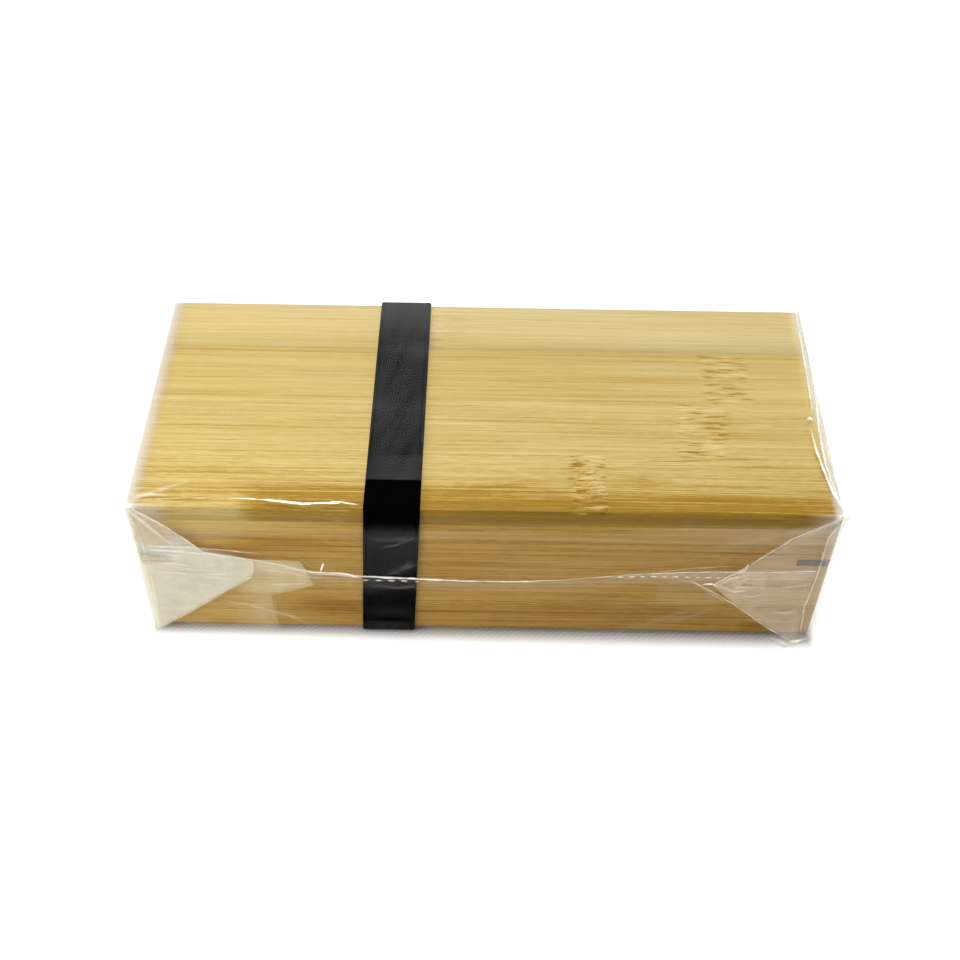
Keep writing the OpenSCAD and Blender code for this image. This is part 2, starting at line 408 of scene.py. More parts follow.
def bamboo(name, grain, palette, knuckles=(), lines=(), glows=(), tone=0.0, seed=0.0):
    """Lacquered bamboo with its fibres along one axis.

    palette is (deep, mid, pale).
    lines are (place across, half width, strength, from, to), darker where strength is above 0.
    glows are (place along, half length, place across, half width, strength), likewise.
    tone makes all of it paler, and seed sets it apart from other pieces.
    """
    bench = Bench(bpy.data.materials.new(name))
    point = bench.place()
    plank = bench.attribute("plank")
    u = point[grain.along]
    v = point[grain.across]
    w = point[grain.depth] + plank * 31.0 + seed * 17.3

    ring = None
    for knuckle in knuckles:
        edge = u + (bench.noise(v / 2.0, seed, 3.7, 2.0) - 0.5) * knuckle.ragged
        left = bench.ramp(edge, knuckle.start - knuckle.fades[0], knuckle.start)
        right = bench.ramp(edge, knuckle.end + knuckle.fades[1], knuckle.end)
        mask = left * right * knuckle.strength
        if knuckle.above is not None:
            mask = mask * bench.ramp(point[grain.depth], knuckle.above - 1.0, knuckle.above)
        ring = mask if ring is None else bench.maths("MAXIMUM", ring, mask)

    sway = (bench.noise(u / 75, v / 14, w / 14, 1.0) - 0.5) * grain.wander
    vv = v + sway
    if ring is not None:
        bunch = bench.noise(u / 6.5, v / 3.4, w / 9, 1.0) - 0.5
        vv = vv + ring * bunch * 1.8

    def drawn_out(long, wide, shift=0.0, detail=1.0, roughness=0.5):
        """Noise about 0.5, long along the fibres and wide across them, in millimetres."""
        depth = w / wide + shift if shift else w / wide
        return bench.noise(u / long, vv / wide, depth, detail, roughness)

    broad = drawn_out(300, 6.0) - 0.5
    streak = drawn_out(85, 1.5) - 0.5
    strand = drawn_out(46, 0.42, detail=2.0, roughness=0.6) - 0.5
    fibre = drawn_out(3.4, 0.26, detail=2.0, roughness=0.6) - 0.5
    thin = bench.peak(drawn_out(150, 1.0, 40.0), 0.5, 0.035)
    here = bench.ramp(drawn_out(40, 2.4, 9.0), 0.42, 0.62)
    value = broad * 0.3 + streak * 0.2 + strand * (0.62 * grain.crisp) + fibre * (0.44 * grain.crisp)
    value = value - thin * here * (0.2 * grain.crisp) + (USUAL_TONE + tone)

    for at, half, strength, start, end in lines:
        value = value - bench.peak(vv, at, half) * bench.between(u, start, end, 9.0) * strength
    for along_at, long, across_at, wide, strength in glows:
        spot = bench.peak(u, along_at, long) * bench.peak(vv, across_at, wide)
        value = value - spot * (streak * 0.5 + strength)

    if ring is not None:
        blob = drawn_out(7.0, 1.05, detail=2.0)
        pale = bench.ramp(blob, 0.53, 0.64)
        brown = bench.ramp(blob, 0.46, 0.36)
        value = value + ring * (pale * 0.26 - brown * 0.46)

    deep, mid, pale_colour = palette
    dark = tuple(0.7 * channel for channel in deep)
    stops = [(0.0, dark), (0.26, deep), (0.54, mid), (0.9, pale_colour)]
    colour = bench.add("ShaderNodeValToRGB", {"stops": stops}, {"Fac": value}).outputs[0]
    if ring is not None:
        rust = bench.ramp(drawn_out(5.0, 0.6, 5.0), 0.55, 0.72)
        colour = bench.blend(rust * ring * 0.45, colour, opaque(paint(196, 146, 84)))
    if any(knuckle.specks for knuckle in knuckles):
        strongest = max(knuckle.specks for knuckle in knuckles)
        spot = drawn_out(1.6, 0.4)
        speck = bench.ramp(spot, 0.63, 0.74) * ring * strongest
        colour = bench.blend(speck, colour, opaque(paint(104, 60, 28)))

    return bench.principled({
        "Base Color": colour,
        "Roughness": 0.46 - streak * 0.12,
        "Specular IOR Level": 0.14,
        "Coat Weight": 0.05,
        "Coat Roughness": 0.3,
        "Normal": bench.bump(strand + fibre * 0.4, 0.03),
    })


def key_wood(name, colour):
    """Dark stained wood of the corner keys, its grain across the corner."""
    bench = Bench(bpy.data.materials.new(name))
    x, y, z = bench.place()
    grain = bench.noise(x / 6, y / 6, z / 0.3, 3.0, 0.6)
    light = tuple(min(1.0, 2.4 * channel) for channel in colour)
    base = bench.blend(bench.ramp(grain, 0.35, 0.75), opaque(colour), opaque(light))
    return bench.principled({
        "Base Color": base,
        "Roughness": 0.5 - (grain - 0.5) * 0.2,
        "Specular IOR Level": 0.2,
        "Normal": bench.bump(grain, 0.03),
    })


# ---- Elastic and thread ----

def woven_elastic(name, settings):
    """Black twill elastic: diagonal ribs of fine yarns, with a firmer edge on either side.

    Its colour is painted nearly black as shade where the film clings to it, over the front edge of the lid,
    and low on the front.
    """
    bench = Bench(bpy.data.materials.new(name))
    along, across = bench.along_sheet()
    _, y, z = bench.place()
    pitch = settings.twill_pitch / MM
    fuzz = bench.noise(along / 0.7, across / 0.7, 0.0, 1.0) - 0.5
    diagonal = (along + across * 1.37) / pitch + fuzz * 0.3
    rib = bench.stripes(diagonal)
    yarn = bench.stripes((along - across * 0.35) / 0.3)
    worn = bench.noise(along / 15, across / 5, 4.0, 2.0)
    weave = rib * 0.7 + yarn * 0.3
    selvedge = bench.peak(abs(across), BAND_W / 2 - 1.0, 0.4)
    wrinkle = bench.noise(along / 26 + across / 9, across / 40, 2.0, 1.0)
    # Painted shade along the folds of the band's wrinkles
    fold_shade = bench.peak(wrinkle, 0.5, 0.035) * 0.35
    on_lid = bench.ramp(z, TOP_Z - 0.5, TOP_Z + 0.5)
    # The weave shows more towards the front of the lid; plain is the shade where it doesn't show
    plain = 0.38
    relief = 0.4 + bench.ramp(y, 8.0, -28.0) * on_lid * 0.36
    shade = (bench.ramp(weave + fuzz * 0.3, 0.3, 0.85) - plain) * relief + plain
    shade = shade * (1.0 - selvedge * 0.7) * (0.65 + worn * 0.7) * (1.0 - fold_shade)
    # Painted shade: darker on the lid towards its front edge, behind where the film clings
    shade = shade * (1.0 - bench.ramp(y, -18.0, -31.0) * on_lid * 0.35)
    # Painted shade: two places are made nearly black, low on the front and where the film clings
    front = bench.ramp(y, WOOD_LOW.y + 1.5, WOOD_LOW.y)
    lower = bench.ramp(z, TOP_Z - 12.0, TOP_Z - 44.0) * front
    lower = lower * bench.ramp(z, TOP_Z - 51.5, TOP_Z - 49.5)
    cling_shade = bench.ramp(y, CLING_Y + 0.2, CLING_Y - 0.2) * bench.ramp(z, CLING_Z - 1.5, CLING_Z + 3.5)
    shade = shade * (1.0 - cling_shade * 0.96) * (1.0 - lower * 0.93)
    raised = tuple(2.0 * channel for channel in settings.colour)
    return bench.principled({
        "Base Color": bench.blend(shade, (0.001, 0.001, 0.001, 1.0), opaque(raised)),
        "Roughness": 0.85 - shade * 0.1,
        "Specular IOR Level": 0.0,
        "Normal": bench.bump(weave * (1.0 - selvedge * 0.6), 0.018),
    })


def spun_thread(name):
    """Dull black sewing thread, twisted."""
    bench = Bench(bpy.data.materials.new(name))
    x, y, z = bench.place()
    twist = bench.stripes((x + y + z * 2.0) / 0.16)
    fluff = bench.noise(x / 0.1, y / 0.1, z / 0.1, 2.0)
    base = bench.blend(twist * fluff, opaque((0.01, 0.01, 0.011)), opaque((0.06, 0.06, 0.062)))
    return bench.principled({
        "Base Color": base,
        "Roughness": 0.7,
        "Specular IOR Level": 0.2,
        "Normal": bench.bump(twist, 0.05),
    })


# ---- Film ----

def clear_plastic(bench, haze, gloss, colour, normal, silver, roughness, rim=0.12):
    """Clear film: haze is the share that looks milky, gloss what it mirrors head on.

    The milky share is part matt white and part blurred mirror; silver is the mirror's part.
    rim is how much of the usual gain in gloss at a glancing look is kept.
    """
    usual_gain = 20.0
    blur = 0.45
    wave = {"Normal": normal}
    weight = bench.add("ShaderNodeLayerWeight", None, {"Blend": 0.5})
    facing = Reading(bench, weight.outputs["Facing"])
    shine = gloss + (facing ** 5.0) * rim * gloss * usual_gain
    clear = bench.add("ShaderNodeBsdfTransparent").outputs[0]
    matt = bench.add("ShaderNodeBsdfDiffuse", None, {"Color": opaque(colour), **wave}).outputs[0]
    blurred = bench.add(
        "ShaderNodeBsdfGlossy", None, {"Color": opaque(colour), "Roughness": blur, **wave}
    ).outputs[0]
    mirror = bench.add(
        "ShaderNodeBsdfGlossy", None, {"Color": (1, 1, 1, 1), "Roughness": roughness, **wave}
    ).outputs[0]
    milky = bench.shader_mix(silver, matt, blurred)
    return bench.finish(bench.shader_mix(shine, bench.shader_mix(haze, clear, milky), mirror))


def hood_film(name, settings):
    """The bag's own film. It clings round the front top edge, where it mirrors nothing."""
    bench = Bench(bpy.data.materials.new(name))
    x, y, z = bench.place()
    lid_part = bench.ramp(z, TOP_Z + 0.2, TOP_Z + 1.0)
    cling = bench.ramp(y, CLING_Y + 0.3, CLING_Y - 0.3) * bench.ramp(z, CLING_Z - 1.5, CLING_Z + 1.5)
    free = 1.0 - cling * (1.0 - bench.ramp(abs(x), 86.0, 99.0))
    over = 1.0 - bench.ramp(abs(x), WOOD_HIGH.x - 0.2, WOOD_HIGH.x + 0.6)
    # Milky along the edges of the top, and milky towards its back as a painted reflection
    left_edge = bench.ramp(x, -94.0, -101.4) ** 1.3 * lid_part
    right_edge = bench.ramp(x, 96.0, 98.6) * bench.ramp(x, 100.8, 100.2) * lid_part
    painted_back_reflection = bench.ramp(y, 16.0, 46.0) ** 1.6 * lid_part
    wrinkle = bench.noise(x / 26, y / 9, z / 9, 1.0, 0.4)
    veil = bench.ramp(wrinkle, 0.45, 0.8) * 0.012 * free * over
    # Milky at both ends and the top corners of the front
    in_front = bench.ramp(y, FILM_FRONT_Y + 2.0, FILM_FRONT_Y + 0.5)
    front = bench.ramp(y, FILM_FRONT_Y + 0.8, FILM_FRONT_Y + 0.2) * free * over
    upper = bench.ramp(z, TOP_Z - 40.0, TOP_Z - 12.0)
    left_end = bench.ramp(x, -97.8, -100.3) * front * 0.62
    right_end = bench.ramp(x, 95.0, 98.8) * front * (0.1 + upper * 0.08)
    # Painted glare, made as milkiness high on the left of the front
    painted_glare = bench.ramp(x, -62.0, -94.0) * bench.ramp(z, TOP_Z - 18.0, TOP_Z - 8.0) * front * 0.05
    corners = bench.ramp(x, -84.0, -97.0) * 0.12 + bench.ramp(x, 88.0, 98.0) * 0.1
    corners = corners * bench.ramp(z, TOP_Z - 8.0, TOP_Z - 1.0) * in_front
    # Painted sheen, made as milkiness high on the right of the front
    painted_sheen = bench.ramp(x, 40.0, 84.0) * bench.ramp(z, TOP_Z - 16.0, TOP_Z - 6.0)
    painted_sheen = painted_sheen * bench.ramp(z, TOP_Z - 1.0, TOP_Z - 4.5) * in_front * 0.06
    # This milkiness is partly the film's own and partly the painted light above
    haze = left_edge * 0.5 + right_edge * 0.31 + painted_back_reflection * 0.03 + left_end + right_end
    haze = haze + veil + painted_glare + corners + painted_sheen
    # It mirrors less on the front, least where it clings, and not beyond the box's ends
    walls = 1.0 - bench.ramp(z, TOP_Z - 2.0, TOP_Z - 8.0) * (1.0 - upper * 0.6) * 0.8 * in_front
    over = bench.maths("MAXIMUM", over, bench.ramp(z, TOP_Z + 0.4, TOP_Z - 1.6) * (1.0 - in_front))
    near = bench.ramp(y, -14.0, -30.0) * lid_part
    gloss = free * walls * over * (1.0 - near * 0.7) * settings.gloss
    normal = bench.bump(wrinkle, 0.5, 0.5)
    return clear_plastic(
        bench, haze, gloss, paint(252, 251, 248), normal, silver=0.5, roughness=0.12
    )


def folded_film(name, colour, mottle, silver, end_glow=0.0):
    """Film in several layers: milky, mottled where the layers touch, clearer towards its edge.

    end_glow is how much milkier it gets next to the left end of the box.
    """
    bench = Bench(bpy.data.materials.new(name))
    x, y, z = bench.place()
    drawn = bench.attribute("haze")
    cloud = bench.noise(x / 7, y / 7, z / 7, 3.0, 0.6)
    crinkle = bench.noise(x / 1.6, y / 1.6, z / 1.1, 2.0, 0.6)
    cover = 1.0 + (cloud - 0.5) * mottle + (crinkle - 0.5) * mottle * 0.8
    haze = drawn * cover
    if end_glow:
        haze = haze + bench.ramp(x, WOOD_LOW.x + 2.6, WOOD_LOW.x + 0.6) * end_glow
        haze = haze * bench.ramp(x, WOOD_LOW.x, WOOD_LOW.x + 1.0)
    normal = bench.bump(crinkle + cloud * 2.0, 0.3, 0.6)
    return clear_plastic(
        bench, haze, 0.004, colour, normal, silver=silver, roughness=0.2, rim=0.05
    )


# ---- Meshes ----

def settled(name, mesh):
    """The mesh data of that name that a bmesh turns into."""
    data = bpy.data.meshes.new(name)
    mesh.to_mesh(data)
    mesh.free()
    return data


def new_piece(name, body, material, data, turn):
    """An object of that mesh, with its material, riding on its body.

    Edges that turn by more than that many degrees stay hard.
    """
    data.name = name
    data.shade_smooth()
    data.set_sharp_from_angle(angle=math.radians(turn))
    data.materials.clear()
    data.materials.append(material)
    piece = bpy.data.objects.new(name, data)
    bpy.context.scene.collection.objects.link(piece)
    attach(piece, body)
    return piece


def store(data, name, values):
    """Keeps one number for each vertex under that name, for the materials to read."""
    attribute = data.attributes.new(name, "FLOAT", "POINT")
    attribute.data.foreach_set("value", values)


def board(node, body, material, plank=0.0, sanded=()):
    """A merged copy of a wooden CAD node; edges that lie at a height in sanded are softened."""
    mesh = bmesh.new()
    mesh.from_mesh(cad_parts[node].data)
    bmesh.ops.remove_doubles(mesh, verts=mesh.verts, dist=MERGE)
    bmesh.ops.dissolve_limit(
        mesh, angle_limit=math.radians(FLAT_TURN), verts=mesh.verts, edges=mesh.edges
    )
    levels = [height * MM for height in sanded]
    worn = [
        edge for edge in mesh.edges
        if any(all(abs(vert.co.z - level) < LEVEL_SLACK for vert in edge.verts) for level in levels)
        and edge.calc_length() > SHORT_EDGE * MM
        and edge.is_manifold and edge.calc_face_angle() > math.radians(CORNER_TURN)
    ]
    if worn:
        arris = bpy.context.scene.bento_wood.arris
        bmesh.ops.bevel(
            mesh, geom=worn, offset=arris, segments=2, profile=0.6, affect="EDGES",
            clamp_overlap=True,
        )
    name = node + "_wood"
    data = settled(name, mesh)
    store(data, "plank", [plank] * len(data.vertices))
    piece = new_piece(name, body, material, data, WOOD_TURN)
    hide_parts(node)


def tuck(z):
    """How far the film's wall turns in towards the box at that height, round the band's corner."""
    below = BAND_OUT + EDGE_R - z
    if below <= 0:
        return 0.0
    bend = FILM_OUT + EDGE_R
    return bend - math.sqrt(max(0.0, bend ** 2 - below ** 2))


def front_point(right, drop, proud=0.0):
    """A point on the front of the film, right of the wood's left end and below its top.

    Above the front it goes on over the film's round edge and back along the top.
    """
    x = WOOD_LOW.x + right
    past = TOP_Z - drop - (FILM_HIGH.z - FILM_BEND)
    if past <= 0:
        z = TOP_Z - drop
        return Vector((x, FILM_FRONT_Y - proud + tuck(z), z)) * MM
    turn = min(past / FILM_BEND, math.pi / 2)
    reach = FILM_BEND + proud
    back = max(0.0, past - FILM_BEND * math.pi / 2)
    y = FILM_FRONT_Y + FILM_BEND - reach * math.cos(turn) + back
    z = FILM_HIGH.z - FILM_BEND + reach * math.sin(turn)
    return Vector((x, y, z)) * MM


def front_facing(drop):
    """The way that the film faces there, on the front or over its round edge."""
    past = TOP_Z - drop - (FILM_HIGH.z - FILM_BEND)
    turn = min(max(past, 0.0) / FILM_BEND, math.pi / 2)
    return Vector((0, -math.cos(turn), math.sin(turn)))


def folded_path(points, step, stray=0.0):
    """Points about step apart along straight folds between the given ones.

    stray is how far they lie to one side or the other, changing slowly along the way.
    """
    slowness = 4.0
    points = [Vector(point) for point in points]
    if len(points) < 2:
        raise ValueError("a path has two points or more")
    path = []
    for start, end in zip(points, points[1:]):
        count = max(1, round((end - start).length / step))
        for k in range(count):
            point = start.lerp(end, k / count)
            if path:
                point = point + noise.noise_vector(point / slowness) * stray
            path.append(point)
    path.append(points[-1])
    return path


class RibbonBook:
    """Collects narrow raised creases of film in one mesh, with how milky each point is."""

    # How far a crease strays from its path, how deep its underside sinks into the film, how much
    # of it is left at its very ends, and how long the bright and the clear patches along it are
    STRAY = 0.16
    SUNK = 0.02
    LEAST_TAPER = 0.06
    PATCH = 3.1

    def __init__(self):
        self.mesh = bmesh.new()
        self.haze = []

    def add(self, points, normal, width, strength, ends=(0.15, 0.15), lift=0.12, step=0.9,
            patchy=0.55):
        """A crease along a path, in millimetres, with a point at each step.

        normal is the way it stands off the film, or what works that out at a point. strength is
        how milky it is, less over the shares of its length in ends, and patchy how unevenly.
        """
        path = folded_path(points, step, self.STRAY)
        last = len(path) - 1
        facing = normal if callable(normal) else lambda point: Vector(normal)
        rings = []
        for i, point in enumerate(path):
            along = (path[min(i + 1, last)] - path[max(i - 1, 0)]).normalized()
            normal = facing(point).normalized()
            side = along.cross(normal).normalized()
            share = i / last
            taper = min(1.0, share / max(ends[0], 1e-6), (1 - share) / max(ends[1], 1e-6))
            taper = max(self.LEAST_TAPER, taper)
            # A crease of another width has its patches elsewhere
            patch = noise.noise(point / self.PATCH + Vector((width * 40, 0, 0)))
            uneven = 1.0 + patchy * 1.6 * patch
            half = side * width / 2 * (0.35 + 0.65 * taper) * (0.7 + 0.3 * uneven)
            ridge = normal * lift * (0.4 + 0.6 * taper)
            ring = [point - half, point + ridge, point + half, point - normal * self.SUNK]
            rings.append([self.mesh.verts.new(place * MM) for place in ring])
            glow = min(1.0, max(0.0, strength * taper * uneven))
            self.haze.extend([0.0, glow, 0.0, glow])
        for first, second in zip(rings, rings[1:]):
            for k in range(4):
                self.mesh.faces.new((first[k], first[(k + 1) % 4], second[(k + 1) % 4], second[k]))
        self.mesh.faces.new(rings[0][::-1])
        self.mesh.faces.new(rings[-1])

    def close(self, name, material):
        """Makes the piece, riding with the film."""
        bmesh.ops.recalc_face_normals(self.mesh, faces=self.mesh.faces)
        data = settled(name, self.mesh)
        store(data, "haze", self.haze)
        new_piece(name, "film", material, data, ROUND_TURN)


def front_patch(name, outline, haze_at, material, proud, cell, relief, slot="film"):
    """A thin sheet lying on the front of the film, cut to an outline of (right, drop) points.

    haze_at gives how milky it is at a point. It stands proud of the film, in cells of that size,
    and relief is how high its small waves stand.
    """
    corners = [Vector(point) for point in outline]
    lows = [min(point[k] for point in outline) for k in (0, 1)]
    highs = [max(point[k] for point in outline) for k in (0, 1)]
    border = []
    for start, end in zip(corners, corners[1:] + corners[:1]):
        count = max(1, round((end - start).length / cell))
        border.extend(start.lerp(end, k / count) for k in range(count))
    # The points inside lie like bricks and keep clear of the border
    inner = []
    for row in range(1, int((highs[1] - lows[1]) / cell)):
        shift = 0.5 * (row % 2)
        for column in range(1, int((highs[0] - lows[0]) / cell)):
            spot = Vector((lows[0] + (column + shift) * cell, lows[1] + row * cell))
            nearest = min((spot - point).length for point in border)
            if nearest > 0.55 * cell:
                inner.append(spot)
    rim = list(range(len(border)))
    made = geometry.delaunay_2d_cdt(border + inner, [], [rim], 1, MERGE)
    points, triangles = made[0], made[2]
    mesh = bmesh.new()
    haze = []
    verts = []
    for point in points:
        edge = min((point - spot).length for spot in border)
        free = min(1.0, edge / (2 * cell) + 0.25)
        wave = noise.noise(Vector((point.x / 5.0, point.y / 3.5, proud * 7))) * relief * free
        place = front_point(point.x, point.y, proud + wave)
        verts.append(mesh.verts.new(place))
        haze.append(haze_at(point.x, point.y))
    for triangle in triangles:
        mesh.faces.new([verts[k] for k in triangle])
    bmesh.ops.recalc_face_normals(mesh, faces=mesh.faces)
    mesh.faces.ensure_lookup_table()
    if sum(face.normal.y for face in mesh.faces) > 0:
        bmesh.ops.reverse_faces(mesh, faces=mesh.faces)
    data = settled(name, mesh)
    store(data, "haze", haze)
    piece = new_piece(name, "film", material, data, SHEET_TURN)
    thicken(piece)
    return piece


def thicken(piece):
    """Gives a sheet of film its thickness, inwards."""
    wall = piece.modifiers.new("film thickness", "SOLIDIFY")
    wall.thickness = bpy.context.scene.bento_film.thickness
    wall.offset = -1


# ---- Things that repeat along a line ----

def repeat_tree():
    """A node tree that lays small rounded bars along a line, a fixed distance apart."""
    tree = bpy.data.node_groups.new("bars along a line", "GeometryNodeTree")
    face = tree.interface
    face.new_socket("Geometry", in_out="INPUT", socket_type="NodeSocketGeometry")
    for name in ("Pitch", "Length", "Width", "Height", "Unevenness"):
        face.new_socket(name, in_out="INPUT", socket_type="NodeSocketFloat")
    face.new_socket("Material", in_out="INPUT", socket_type="NodeSocketMaterial")
    face.new_socket("Geometry", in_out="OUTPUT", socket_type="NodeSocketGeometry")

    def add(kind, inputs=None, **settings):
        """A node of that kind, its settings set first and then its sockets fed."""
        node = tree.nodes.new(kind)
        for key, value in settings.items():
            setattr(node, key, value)
        for key, value in (inputs or {}).items():
            if isinstance(value, bpy.types.NodeSocket):
                tree.links.new(value, node.inputs[key])
            else:
                node.inputs[key].default_value = value
        return node

    given = add("NodeGroupInput").outputs
    line = add("GeometryNodeMeshToCurve", {"Mesh": given["Geometry"]})
    spaced = add(
        "GeometryNodeResampleCurve", {"Curve": line.outputs[0], "Length": given["Pitch"]},
        mode="LENGTH",
    )
    ball = add("GeometryNodeMeshUVSphere", {"Segments": 10, "Rings": 6, "Radius": 0.5})
    size = add(
        "ShaderNodeCombineXYZ", {0: given["Length"], 1: given["Width"], 2: given["Height"]}
    )
    bar = add("GeometryNodeTransform", {"Geometry": ball.outputs[0], "Scale": size.outputs[0]})
    tangent = add("GeometryNodeInputTangent")
    turned = add("FunctionNodeAlignRotationToVector", {"Vector": tangent.outputs[0]}, axis="X")
    chance = add("FunctionNodeRandomValue", {"Seed": 7}, data_type="FLOAT")
    uneven = add("ShaderNodeMath", {0: chance.outputs[1], 1: given["Unevenness"]}, operation="MULTIPLY")
    share = add("ShaderNodeMath", {0: 1.0, 1: uneven.outputs[0]}, operation="SUBTRACT")
    laid = add("GeometryNodeInstanceOnPoints", {
        "Points": spaced.outputs[0], "Instance": bar.outputs[0],
        "Rotation": turned.outputs[0], "Scale": share.outputs[0],
    })
    real = add("GeometryNodeRealizeInstances", {0: laid.outputs[0]})
    painted = add(
        "GeometryNodeSetMaterial", {"Geometry": real.outputs[0], "Material": given["Material"]}
    )
    add("NodeGroupOutput", {0: painted.outputs[0]})
    return tree


def bars_along(name, lines, values, material):
    """A mesh of small bars along lines of points in metres. values feed the tree's inputs."""
    points = [point for line in lines for point in line]
    edges = []
    start = 0
    for line in lines:
        edges.extend((start + k, start + k + 1) for k in range(len(line) - 1))
        start += len(line)
    data = bpy.data.meshes.new(name + " line")
    data.from_pydata(points, edges, [])
    guide = bpy.data.objects.new(name + " line", data)
    bpy.context.scene.collection.objects.link(guide)
    modifier = guide.modifiers.new("bars", "NODES")
    tree = bpy.data.node_groups.get("bars along a line") or repeat_tree()
    modifier.node_group = tree
    sockets = {item.name: item.identifier for item in tree.interface.items_tree if item.in_out == "INPUT"}
    for key, value in values.items():
        modifier[sockets[key]] = value
    modifier[sockets["Material"]] = material
    bpy.context.view_layer.update()
    graph = bpy.context.evaluated_depsgraph_get()
    made = bpy.data.meshes.new_from_object(guide.evaluated_get(graph))
    bpy.data.objects.remove(guide)
    bpy.data.meshes.remove(data)
    if not made.polygons:
        raise RuntimeError(f"{name}: the line took no bars")
    return made


# ---- The band's run round the box ----

def band_run(out, corner_radius):
    """The band's path in the YZ plane, out from the wood: (y, z, normal y, normal z) each."""
    half_y = (WOOD_HIGH.y - WOOD_LOW.y) / 2 + out
    low_z, high_z = WOOD_LOW.z - out, TOP_Z + out
    r = corner_radius
    corners = [
        (half_y - r, high_z - r, 0), (-half_y + r, high_z - r, 90),
        (-half_y + r, low_z + r, 180), (half_y - r, low_z + r, 270),
    ]
    steps = 8
    spacing = 3
    run = []
    for index, (y, z, turn) in enumerate(corners):
        for k in range(steps + 1):
            angle = math.radians(turn + 90 * k / steps)
            run.append((y + r * math.cos(angle), z + r * math.sin(angle),
                        math.cos(angle), math.sin(angle)))
        next_y, next_z, _ = corners[(index + 1) % 4]
        angle = math.radians(turn + 90)
        start = Vector((y + r * math.cos(angle), z + r * math.sin(angle)))
        end = Vector((next_y + r * math.cos(angle), next_z + r * math.sin(angle)))
        pieces = max(2, round((end - start).length / spacing))
        for k in range(1, pieces):
            spot = start.lerp(end, k / pieces)
            run.append((spot.x, spot.y, math.cos(angle), math.sin(angle)))
    return run


def strap_section(width, thickness):
    """Outline across a strap with full round edges: (across, out) about its middle."""
    r = thickness / 2
    round_steps, flat_steps = 6, 12
    section = []
    for side, turn in ((1, -90), (-1, 90)):
        for k in range(round_steps + 1):
            angle = math.radians(turn + 180 * k / round_steps)
            section.append((side * (width / 2 - r) + r * math.cos(angle), r * math.sin(angle)))
        for k in range(1, flat_steps):
            section.append((side * (width / 2 - r) * (1 - 2 * k / flat_steps), side * r))
    return section


def sweep(mesh, uv_layer, places, section, closed):
    """Sweeps a section along places of (origin, across, out); UV is (along, across) in mm."""
    rings = []
    lengths = [0.0]
    for first, second in zip(places, places[1:] + places[:1]):
        lengths.append(lengths[-1] + (second[0] - first[0]).length)
    for origin, across, out in places:
        rings.append([mesh.verts.new((origin + across * a + out * b) * MM) for a, b in section])
    count = len(section)
    spans = len(places) if closed else len(places) - 1
    for i in range(spans):
        first, second = rings[i], rings[(i + 1) % len(rings)]
        for k in range(count):
            n = (k + 1) % count
            face = mesh.faces.new((first[k], first[n], second[n], second[k]))
            marks = ((lengths[i], k), (lengths[i], n), (lengths[i + 1], n), (lengths[i + 1], k))
            for loop, (length, index) in zip(face.loops, marks):
                loop[uv_layer].uv = (length, section[index][0])
    if not closed:
        for ring, length in ((rings[0][::-1], lengths[0]), (rings[-1], lengths[spans])):
            face = mesh.faces.new(ring)
            for loop in face.loops:
                loop[uv_layer].uv = (length, 0.0)


# ---- Operators: one for each piece or group of like pieces ----

def on_front(lines, glows):
    """Tables for the front, given as drops below the top, turned into heights."""
    return (
        [(TOP_Z - drop, *rest) for drop, *rest in lines],
        [(along, long, TOP_Z - drop, *rest) for along, long, drop, *rest in glows],
    )


def palettes():
    """The lid's colours and the walls', (deep, mid, pale) each."""
    wood = bpy.context.scene.bento_wood
    lid = (wood.lid_deep, wood.lid_mid, wood.lid_pale)
    wall = (wood.wall_deep, wood.wall_mid, wood.wall_pale)
    return [tuple(colour) for colour in lid], [tuple(colour) for colour in wall]


